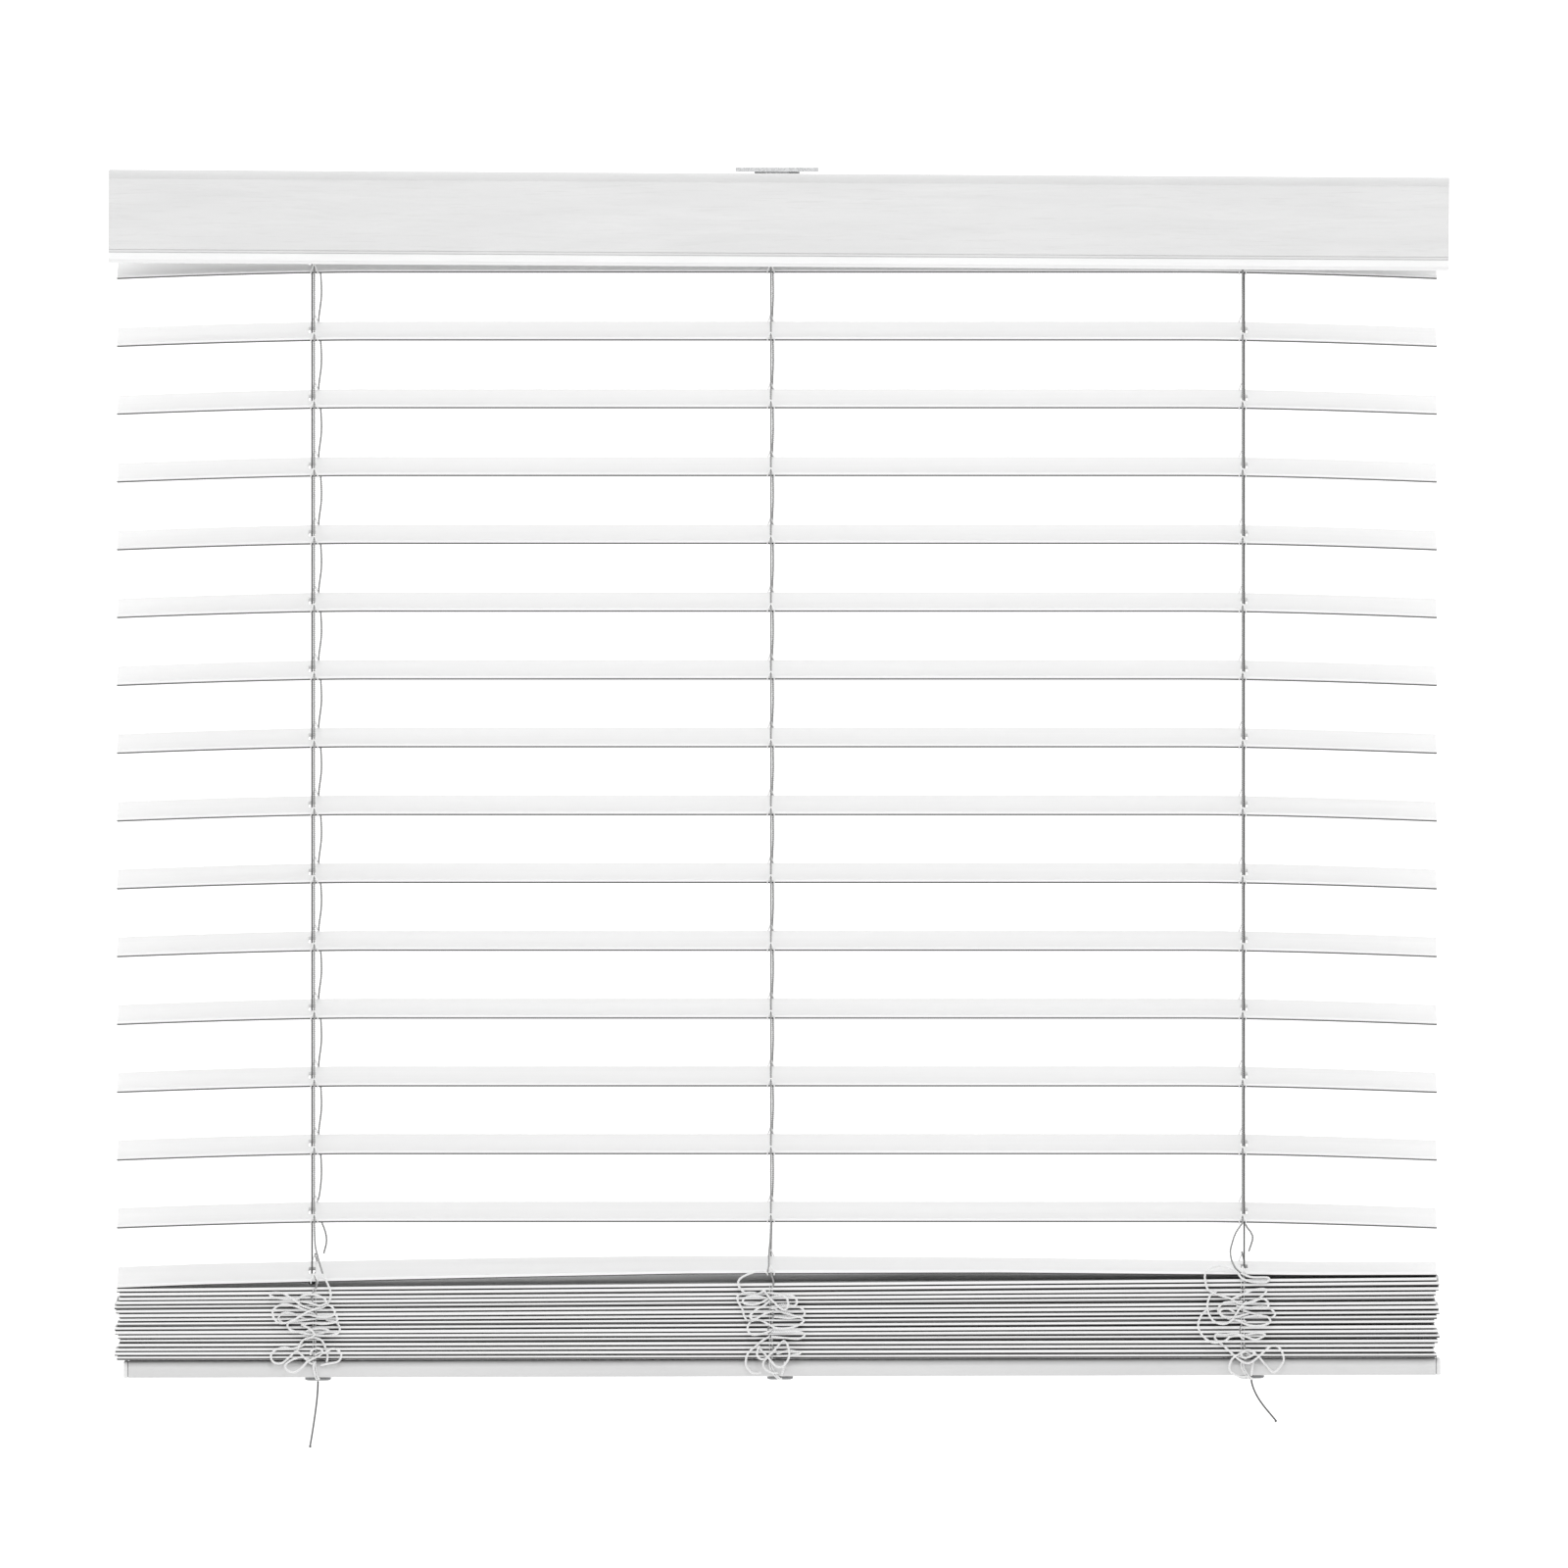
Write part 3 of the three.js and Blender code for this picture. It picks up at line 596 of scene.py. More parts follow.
def slat_name(number):
    return f"slat_{number:02d}"


def droop(x):
    """How far a free end of an open slat hangs below the level stretch between the ladders."""
    over = max(0.0, abs(x) - DROOP_START) / (SLAT_LENGTH / 2 - DROOP_START)
    return END_DROOP * over**DROOP_POWER


def slat_outline(inset=0.0):
    """(y, z) points round a slat, with quarter-round edges and a point where each edge's shade begins."""
    y, z = SLAT_DEPTH / 2 - SLAT_ROUND, SLAT_THICKNESS / 2 - SLAT_ROUND
    edge, radius = SLAT_DEPTH / 2 - inset, SLAT_ROUND - inset
    rear_top, front_top = arc((y, z), radius, 0, 90, 5), arc((-y, z), radius, 90, 180, 5)
    front_low, rear_low = arc((-y, -z), radius, 180, 270, 5), arc((y, -z), radius, 270, 360, 5)
    return np.array([*rear_top, *front_top, (-edge, EDGE_SHADE), *front_low, *rear_low, (edge, EDGE_SHADE)])


def slat_rings(shape):
    """Rings along a slat. shape(x) gives the section's height and its turn about X there."""
    half = SLAT_LENGTH / 2
    places = [-half, *np.linspace(-half + END_CHAMFER, half - END_CHAMFER, SLAT_RINGS), half]
    rings = []
    for i, x in enumerate(places):
        outline = slat_outline(END_CHAMFER if i in (0, len(places) - 1) else 0.0)
        height, turn = shape(x)
        y = outline[:, 0] * math.cos(turn) - outline[:, 1] * math.sin(turn)
        z = outline[:, 0] * math.sin(turn) + outline[:, 1] * math.cos(turn) + height
        rings.append(np.stack([np.full(len(outline), x), y, z], axis=1))
    return rings


def rout_cutter(x, shape):
    """An oblong hole with a small chamfer at both faces of the slat."""
    straight = (ROUT_LENGTH - ROUT_WIDTH) / 2
    height, turn = shape(x)
    pose = Matrix.Translation((x, 0, height)) @ Matrix.Rotation(turn, 4, "X")
    face, chamfer = SLAT_THICKNESS / 2, 0.3 * MM
    lower = [(-5 * MM, chamfer), (-face, chamfer), (chamfer - face, 0)]
    rings = []
    for z, grow in lower + [(-z, grow) for z, grow in reversed(lower)]:
        radius = ROUT_WIDTH / 2 + grow
        outline = arc((0, straight), radius, 0, 180, 10) + arc((0, -straight), radius, 180, 360, 10)
        rings.append([pose @ Vector((across, along, z)) for across, along in outline])
    return loft("rout", [np.array(ring) for ring in rings])


def slat_mesh(name, shape, shaded_below=EDGE_SHADE):
    """A slat with its rout holes. Its edges take a painted highlight, and below that height painted shade
    instead.
    """
    body = loft(name, slat_rings(shape))
    mesh = smooth(cut(body, [rout_cutter(x, shape) for x in LIFT_CORDS.values()]), 30)
    for face in mesh.polygons:
        height, turn = shape(face.center.x)
        local = Matrix.Rotation(-turn, 3, "X") @ (face.center - Vector((0, 0, height)))
        if abs(local.y) <= SLAT_DEPTH / 2 - EDGE_BAND:
            face.material_index = FACE_SLOT
        else:
            face.material_index = SHADE_SLOT if local.z < shaded_below else HIGHLIGHT_SLOT
    return mesh


def slat_pose(number):
    """The CAD slat's middle, its tilt and its lean, from the ends and the edges of its mesh."""
    vertices = np.array([v.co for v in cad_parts[slat_name(number)].data.vertices])
    reach = 1 * MM
    left = vertices[vertices[:, 0] < vertices[:, 0].min() + reach]
    right = vertices[vertices[:, 0] > vertices[:, 0].max() - reach]
    middle = left[:, 1].mean()
    across = left[left[:, 1] > middle].mean(axis=0) - left[left[:, 1] < middle].mean(axis=0)
    tilt = math.atan2(across[2], across[1])
    left, right = left.mean(axis=0), right.mean(axis=0)
    lean = -math.atan2(right[2] - left[2], right[0] - left[0])
    turn = Matrix.Rotation(tilt, 4, "X") @ Matrix.Rotation(lean, 4, "Y")
    sag = turn @ Vector((0, 0, END_DROOP if number <= OPEN_SLATS + 1 else 0.0))
    return Matrix.Translation(Vector((left + right) / 2) + sag) @ turn


# The slat that has just come down is still twisted: (x, height of its front edge, tilt in degrees).
# Its shape is made where it lies, so it needs no pose.
SETTLING = [
    (-438, -742.8, 13.6), (-385, -740.6, 13.4), (-255, -737.3, 12.8), (-158, -735.2, 12.2),
    (-60, -733.3, 11.2), (70, -732.8, 9.8), (150, -732.6, 9.0), (265, -733.6, 8.2), (356, -734.3, 7.7),
    (438, -734.1, 7.4),
]


def settling_shape(x):
    places, fronts, tilts = (list(column) for column in zip(*SETTLING))
    front = np.interp(x / MM, places, fronts) * MM
    turn = math.radians(np.interp(x / MM, places, tilts))
    return front + SLAT_DEPTH / 2 * math.sin(turn), turn


# The slat that rests on the stack is bent up at its rear by the strings: (x, extra tilt in degrees).
RESTING = [(-438, 0), (-250, 1.5), (-60, 3.4), (90, 3.6), (200, 2.0), (300, 0.8), (438, 0.4)]


def resting_shape(x):
    places, tilts = zip(*RESTING)
    turn = math.radians(np.interp(x / MM, places, tilts))
    return SLAT_DEPTH / 2 * math.sin(turn), turn


def flat_shape(x):
    return 0.0, 0.0


def open_shape(x):
    return -droop(x), 0.0


def face_finish(number):
    """The slat under the valance takes the lighter paint as painted light against the valance's shade, and
    the stacked ones take painted shade in their gaps.
    """
    if number == 1:
        return "slat_highlight"
    return "slat_white" if number <= OPEN_SLATS + 1 else "stack_white_shaded"


def add_slats():
    """15 open slats, one that settles, one that rests on the stack, and 16 flat ones under it."""
    open_mesh = slat_mesh("open_slat", open_shape)
    flat_meshes = [slat_mesh("flat_slat", flat_shape, shade) for shade in STACK_SHADES]
    for number in range(1, SLATS + 1):
        name = slat_name(number)
        if number <= OPEN_SLATS:
            mesh = open_mesh.copy()
        elif number == OPEN_SLATS + 1:
            mesh = slat_mesh("settling_slat", settling_shape, TOP_SHADE)
        elif number == OPEN_SLATS + 2:
            mesh = slat_mesh("resting_slat", resting_shape, TOP_SHADE)
        else:
            mesh = flat_meshes[number % len(flat_meshes)].copy()
        if number != OPEN_SLATS + 1:
            mesh.transform(slat_pose(number))
        slat = add_object(f"{name}_finished", mesh, face_finish(number), name)
        # The upper edges take the painted highlight and the lower edges the painted shade.
        mesh.materials.append(FINISHES["slat_highlight"])
        mesh.materials.append(FINISHES["slat_edge_shade"])
        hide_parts(name)


add_slats()


# ---------------------------------------------------------------- valance

VALANCE_LEAN = math.radians(0.34)
VALANCE_RINGS = 360

# In millimetres, from the valance's back and its top edge
VALANCE_HEIGHT = 61.8
VALANCE_FACE = -9.5
PANEL = (-6.4, -52.4)
GROOVES = (-53.0, -54.7)
BEAD_TOP = -55.2
GRAIN_DEPTH = 0.24


def valance_outline():
    """(y, z) in millimetres from the back top edge: crown, cove, panel, grooves, bead, foot and back."""
    face = VALANCE_FACE
    crown = [(-0.4, 0), *arc((-11.2, -1.1), 1.1, 90, 180, 6), (-12.3, -1.6)]
    cove = [(-12.3 + 2.8 * t**1.6, -1.6 - 4.4 * t) for t in np.linspace(0.12, 1, 9)]
    panel = [(face, z) for z in np.linspace(*PANEL, 62)]
    grooves = [point for z in GROOVES for point in ((face, z + 0.4), (face + 0.7, z), (face, z - 0.4))]
    bead = [
        (face, -55.3), (face - 0.35, -55.5), (face - 0.9, -56.1), (face - 1.7, -57.2), (face - 2.4, -58.3),
        *arc((face - 1.75, -59.1), 1.1, 150, 262, 7),
    ]
    foot = [(face - 1.5, -VALANCE_HEIGHT + 0.7), (face - 1.0, -VALANCE_HEIGHT), (-0.4, -VALANCE_HEIGHT)]
    back = [(0, -VALANCE_HEIGHT + 0.4), (0, -0.4)]
    return crown + cove + panel + grooves + bead + foot + back


def grain(x, z):
    """Depth of the embossed wood grain: long wavy lines that come and go, in millimetres."""
    drift = 2.6 * noise.noise(Vector((x / 150, z / 30, 0))) + 0.5 * noise.noise(Vector((x / 38, z / 9, 4)))
    line = math.cos(2 * math.pi * (z / 5.4 + drift))
    presence = 0.5 + 0.9 * noise.noise(Vector((x / 70, z / 7, 9)))
    return GRAIN_DEPTH * max(0.0, line) ** 3 * min(1.0, max(0.0, presence))


def add_valance():
    low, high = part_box("valance")
    top = (low.z + high.z) / 2 + VALANCE_HEIGHT / 2 * MM
    half = (high.x - low.x) / 2 / MM - 0.2
    outline = valance_outline()
    places = [-half, *np.linspace(-half + 0.5, half - 0.5, VALANCE_RINGS), half]
    rings = []
    for i, x in enumerate(places):
        end = i in (0, len(places) - 1)
        ring = []
        for y, z in outline:
            if y == VALANCE_FACE and PANEL[1] <= z <= PANEL[0] and not end:
                y += grain(x, z)
            if end:
                y, z = y * 0.96 - 0.2, -VALANCE_HEIGHT / 2 + (z + VALANCE_HEIGHT / 2) * 0.99
            ring.append((x, y, z))
        rings.append(np.array(ring) * MM)
    mesh = smooth(loft("valance_moulding", rings), 40)
    mesh.materials.append(FINISHES["valance_white"])
    mesh.materials.append(FINISHES["valance_bead_highlight"])
    for face in mesh.polygons:
        # Faces below the bead's top take the painted highlight.
        face.material_index = int(face.center.z < BEAD_TOP * MM)
    place = Matrix.Translation((middle_x("valance"), high.y, top)) @ Matrix.Rotation(VALANCE_LEAN, 4, "Y")
    mesh.transform(place)
    valance = add_object("valance_moulding", mesh, "valance_white", "headrail")
    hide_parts("valance")


add_valance()


# ---------------------------------------------------------------- CAD nodes that stay

KEPT = {
    "painted_steel": ["headrail", "left_end_bracket", "right_end_bracket"],
    "zinc_steel": ["centre_bracket", "tilt_shaft"],
    "spring_steel": ["motor_spring"],
    "clear_plastic": ["valance_clip"],
    "white_plastic": ["left_cradle", "tilter_housing"],
    "grey_plastic": ["tilter_gear", "tilter_worm", "lift_shaft", "storage_reel", "motor_housing"],
}
CLIP_X = 352 * MM

# Width of the bevel on a CAD node's edges, in millimetres
EDGE_WIDTH = {"headrail": 0.3, "centre_bracket": 0.35, "motor_spring": 0.08, "tilter_worm": 0.12}
PLAIN_EDGE = 0.2


def round_edges(obj, width):
    """Breaks the sharp edges of a faceted part."""
    flat = obj.modifiers.new("flat_faces", "DECIMATE")
    flat.decimate_type = "DISSOLVE"
    flat.angle_limit = math.radians(1)
    bevel = obj.modifiers.new("round_edges", "BEVEL")
    bevel.width = width
    bevel.segments = 2
    bevel.limit_method = "ANGLE"
    bevel.angle_limit = math.radians(40)
    bevel.harden_normals = True
    obj.data.polygons.foreach_set("use_smooth", [True] * len(obj.data.polygons))


def finish_kept_nodes():
    for finish, names in KEPT.items():
        for name in names:
            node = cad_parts[name]
            node.data.materials.clear()
            node.data.materials.append(FINISHES[finish])
            round_edges(node, EDGE_WIDTH.get(name, PLAIN_EDGE) * MM)


def add_copies(node, places, finish):
    """Copies of a CAD piece at other places along the headrail."""
    for place, x in places.items():
        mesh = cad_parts[node].data.copy()
        mesh.transform(Matrix.Translation((x - middle_x(node), 0, 0)))
        piece = add_object(f"{place}_{node.split('_', 1)[1]}", mesh, finish, "headrail")
        round_edges(piece, PLAIN_EDGE * MM)


finish_kept_nodes()
add_copies("left_cradle", {"middle": STATIONS["middle"], "right": STATIONS["right"]}, "white_plastic")
add_copies("valance_clip", {"left_valance": -CLIP_X, "right_valance": CLIP_X}, "clear_plastic")


# ---------------------------------------------------------------- bottom rail

RAIL_LEAN = math.radians(-0.13)

# In millimetres
RAIL_HEIGHT = 11.1
RAIL_DEPTH = 50
RAIL_CHAMFER = 0.35

# The bore for a button, as (radius, height) in mm from the rail's underside.
RAIL_BORE = [(0.01, -5), (7.0, -5), (7.0, 0), (6.6, 0.5), (6.6, 20), (0.01, 20)]


def rail_outline(shrink=0.0):
    """(y, z) in millimetres below the rail's flat top, with softened corners."""
    half = RAIL_DEPTH / 2 - shrink
    top, bottom = -shrink, -RAIL_HEIGHT + shrink
    right = [
        (half - 4.2, top), (half - 3.4, top - 0.25), (half - 2.6, top - 0.9), (half - 0.5, top - 3.6),
        (half - 0.1, top - 4.4), (half, top - 5.2), (half, bottom + 1.6), (half - 0.45, bottom + 0.5),
        (half - 1.6, bottom),
    ]
    return right + [(-y, z) for y, z in reversed(right)]


def rail_part(name, x0, x1, pose, steps=2):
    """A length of the rail's section between two places along it."""
    edge = RAIL_CHAMFER
    between = [(x, 0.0) for x in np.linspace(x0, x1, steps)[1:-1]]
    places = [(x0, edge), (x0 + edge, 0.0), *between, (x1 - edge, 0.0), (x1, edge)]
    rings = [np.array([(x, y, z) for y, z in rail_outline(shrink)]) * MM for x, shrink in places]
    mesh = loft(name, rings)
    mesh.transform(pose)
    return mesh


def add_bottom_rail():
    low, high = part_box("bottom_rail")
    middle = middle_x("bottom_rail")
    top = (low.z + high.z) / 2 + RAIL_HEIGHT / 2 * MM
    pose = Matrix.Translation((middle, 0, top)) @ Matrix.Rotation(RAIL_LEAN, 4, "Y")
    half = (high.x - low.x) / 2 / MM
    body = rail_part("bottom_rail_body", -half, half, pose, 60)
    bores = []
    for side in STATIONS:
        bore = lathe("bore", RAIL_BORE, 40)
        bore.transform(Matrix.Translation((middle_x(f"{side}_plug"), 0, low.z)) @ Matrix.Scale(MM, 4))
        bores.append(bore)
    rail = add_object("bottom_rail_body", smooth(cut(body, bores), 30), "rail_white", "bottom_rail")
    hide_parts("bottom_rail")
    for side in ("left", "right"):
        cap_low, cap_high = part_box(f"{side}_rail_cap")
        x0, x1 = ((place - middle) / MM for place in (cap_low.x, cap_high.x))
        end = smooth(rail_part(f"{side}_rail_end", x0, x1, pose), 30)
        cap = add_object(f"{side}_rail_end", end, "white_plastic", "bottom_rail")
        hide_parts(f"{side}_rail_cap")


# A button is a shallow dome with a rolled rim, a dished middle and the hole for the cord.
BUTTON = [
    (1.5, 0.9), (2.3, 0.45), (4.4, 0.3), (6.6, 0.05), (8.0, 0.35), (8.6, 0.9), (8.7, 1.5), (8.5, 2.05),
    (6.2, 2.1), (6.1, 6.9), (5.6, 7.4), (1.5, 7.4),
]


def add_buttons():
    for side in STATIONS:
        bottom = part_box(f"{side}_plug")[0].z
        mesh = lathe(f"{side}_button", BUTTON, 56)
        place = Matrix.Translation((middle_x(f"{side}_plug"), 0, bottom))
        mesh.transform(place @ Matrix.Rotation(RAIL_LEAN, 4, "Y") @ Matrix.Scale(MM, 4))
        # Painted shade: the buttons take the dark grey plastic to stand in for the shade on their downward
        # faces.
        button = add_object(f"{side}_button", smooth(mesh, 40), "grey_plastic", "bottom_rail")
        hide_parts(f"{side}_plug")


add_bottom_rail()
add_buttons()


# ---------------------------------------------------------------- lift cords

STACK_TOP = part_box(slat_name(OPEN_SLATS + 2))[1].z
RAIL_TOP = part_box("bottom_rail")[1].z


def add_lift_cords():
    """Each runs from its spool down through the slats, with a separate straight piece from the top of the
    stack down.
    """
    for side, x in LIFT_CORDS.items():
        low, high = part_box(f"{side}_lift_cord")
        lead = [(-4.8, high.z / MM), (-3.4, -30), (-1.2, -35.1), (0, -46.4), (0, -60), (0, STACK_TOP / MM)]
        path = curve_through([(x, y * MM, z * MM) for y, z in lead], 3 * MM)
        mesh = tube("lift_cord", path, LIFT_CORD_RADIUS, 10)
        upper = add_object(f"{side}_lift_cord_upper", mesh, "lift_cord", "headrail")
        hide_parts(f"{side}_lift_cord")
        ends = [(x, 0, STACK_TOP), (x, 0, low.z)]
        lower = tube("lift_cord", curve_through(ends, 1.5 * MM), LIFT_CORD_RADIUS, 10)
        blended(f"{side}_lift_cord_lower", lower, "lift_cord", "headrail", "bottom_rail", *ends)


add_lift_cords()


# ---------------------------------------------------------------- ladders

STRING_OVERLAP = 1 * MM
RUNG_RADIUS = 0.42 * MM

# How far a rung lies below its slat's middle, how flat it is pressed, and how wide and high it forks, in mm.
OPEN_RUNG = (1.62, 1.0, 2.2, 5.2)
STACKED_RUNG = (1.4, 0.3, 0.9, 0.4)

# How far each rear string stands to the right of its front one, and how much further it bows between
# slats, in mm.
REAR_BOWS = {"left": (2.6, 1.6), "middle": (1.0, 0.5), "right": (0.8, 0.3)}


def edge_of(number, x, side):
    """The middle of a slat's front (side -1) or rear (side 1) edge at x."""
    if number == OPEN_SLATS + 1:
        height, turn = settling_shape(x)
        reach = side * SLAT_DEPTH / 2
        return Vector((x, reach * math.cos(turn), height + reach * math.sin(turn)))
    pose = slat_pose(number)
    edge = pose @ Vector((x - pose.translation.x, side * SLAT_DEPTH / 2, 0))
    if number <= OPEN_SLATS:
        edge.z -= droop(x)
    return edge


def ladder_strings():
    """The six strings, each as its station, its x, its face of the blind and that face's sign along Y."""
    for station, x in STATIONS.items():
        for face, side in (("front", -1), ("rear", 1)):
            yield station, x, face, side


def add_open_ladders():
    """The strings beside the open slats. They move with the slats' edges, and the rear ones hang in bows."""
    for station, x, face, side in ladder_strings():
        y = side * STRING_Y
        aside, bow = REAR_BOWS[station] if face == "rear" else (0, 0)
        bows = [(0.06, aside), (0.3, aside + bow * 0.8), (0.6, aside + bow), (0.9, aside)]
        heights = [edge_of(number, x, side).z for number in range(1, OPEN_SLATS + 1)]
        points = [(x, y, heights[0] + STRING_OVERLAP)]
        for upper, lower in zip(heights, heights[1:]):
            points += [(x + reach * MM, y, upper + (lower - upper) * part) for part, reach in bows]
        points.append((x, y, heights[-1] - STRING_OVERLAP))
        route = points if bow else [points[0], points[-1]]
        mesh = twisted(f"{station}_{face}_string", route)
        string = add_object(f"{station}_{face}_string", mesh, "ladder_cord", f"ladder_{face}")
        if station == "middle":
            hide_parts(f"ladder_{face}")


def add_top_leads():
    """The strings wound on the tilt drums, down through the headrail's slots to the first slat."""
    for station, x in STATIONS.items():
        front, rear = edge_of(1, x, -1), edge_of(1, x, 1)
        routes = {
            "front": [
                (3.8, -23), (3.0, -28), (-2, -33.2), (-12, -34.6), (-18.2, -36.2), (-20.6, -42),
                (-23.6, -54), (-STRING_Y / MM, front.z / MM + 1),
            ],
            "rear": [(20.2, -23), (20.2, -31), (20.6, -42), (23.4, -50), (STRING_Y / MM, rear.z / MM + 1)],
        }
        for face, route in routes.items():
            name = f"{station}_{face}_lead"
            points = [(x, y * MM, z * MM) for y, z in route]
            ends = points[-4], points[-1]
            blended(name, twisted(name, points), "ladder_cord", "headrail", slat_name(1), *ends)


def add_rungs():
    """Two threads leave each string above a slat's edge, fork over it and run side by side under it."""
    for number in range(1, SLATS + 1):
        threads = []
        drop, flat, fork, rise = OPEN_RUNG if number <= OPEN_SLATS + 1 else STACKED_RUNG
        leaving = [
            (-26.9, rise, 0.2), (-26.6, rise * 0.5, fork * 0.55), (-26.0, 0.3, fork), (-25.6, -0.9, fork),
        ]
        under = [(-24.4, -drop, fork), (0, -drop, fork)]
        profile = leaving + under + [(-y, z, spread) for y, z, spread in reversed(leaving + under[:1])]
        for x in STATIONS.values():
            for side in (-1, 1):
                if number == OPEN_SLATS + 1:
                    height, turn = settling_shape(x)
                    pose = Matrix.Translation((x, 0, height)) @ Matrix.Rotation(turn, 4, "X")
                    start = 0.0
                else:
                    pose = slat_pose(number)
                    start = x - pose.translation.x
                sag = droop(x) if number <= OPEN_SLATS else 0.0
                points = []
                for y, z, spread in profile:
                    points.append(pose @ Vector((start + side * spread * MM, y * MM, z * MM - sag)))
                threads.append(tube("rung", curve_through(points, 1.2 * MM), RUNG_RADIUS, 6, flat))
        add_object(f"rungs_{number:02d}", smooth(joined("rungs", threads), 60), "cord", slat_name(number))


add_open_ladders()
add_top_leads()
add_rungs()


# Strings from the last open slat to the stack: (x from the station, height) in mm, front and rear.
LOWER_LEADS = {
    "left": {
        "front": [(0, -700), (0.6, -714.6), (2.2, -722), (3.7, -727.7), (5.6, -733.9)],
        "rear": [(0, -688), (3, -697), (6.6, -706), (7.6, -713), (5.8, -721)],
    },
    "middle": {
        "front": [(0, -700), (-0.4, -710), (-1.3, -721.1), (-1.4, -729.2), (-2.4, -733.3)],
        "rear": [(0, -688), (0.5, -700), (0.2, -712), (0, -722)],
    },
    "right": {
        "front": [
            (0, -700), (-4.6, -707), (-7.2, -714.6), (-8.1, -719.6), (-7.2, -725.2), (-4.7, -730.2),
            (-1.2, -733.5),
        ],
        "rear": [(0, -688), (2.6, -701.6), (6, -707), (7.2, -711.3), (4.6, -719.8)],
    },
}

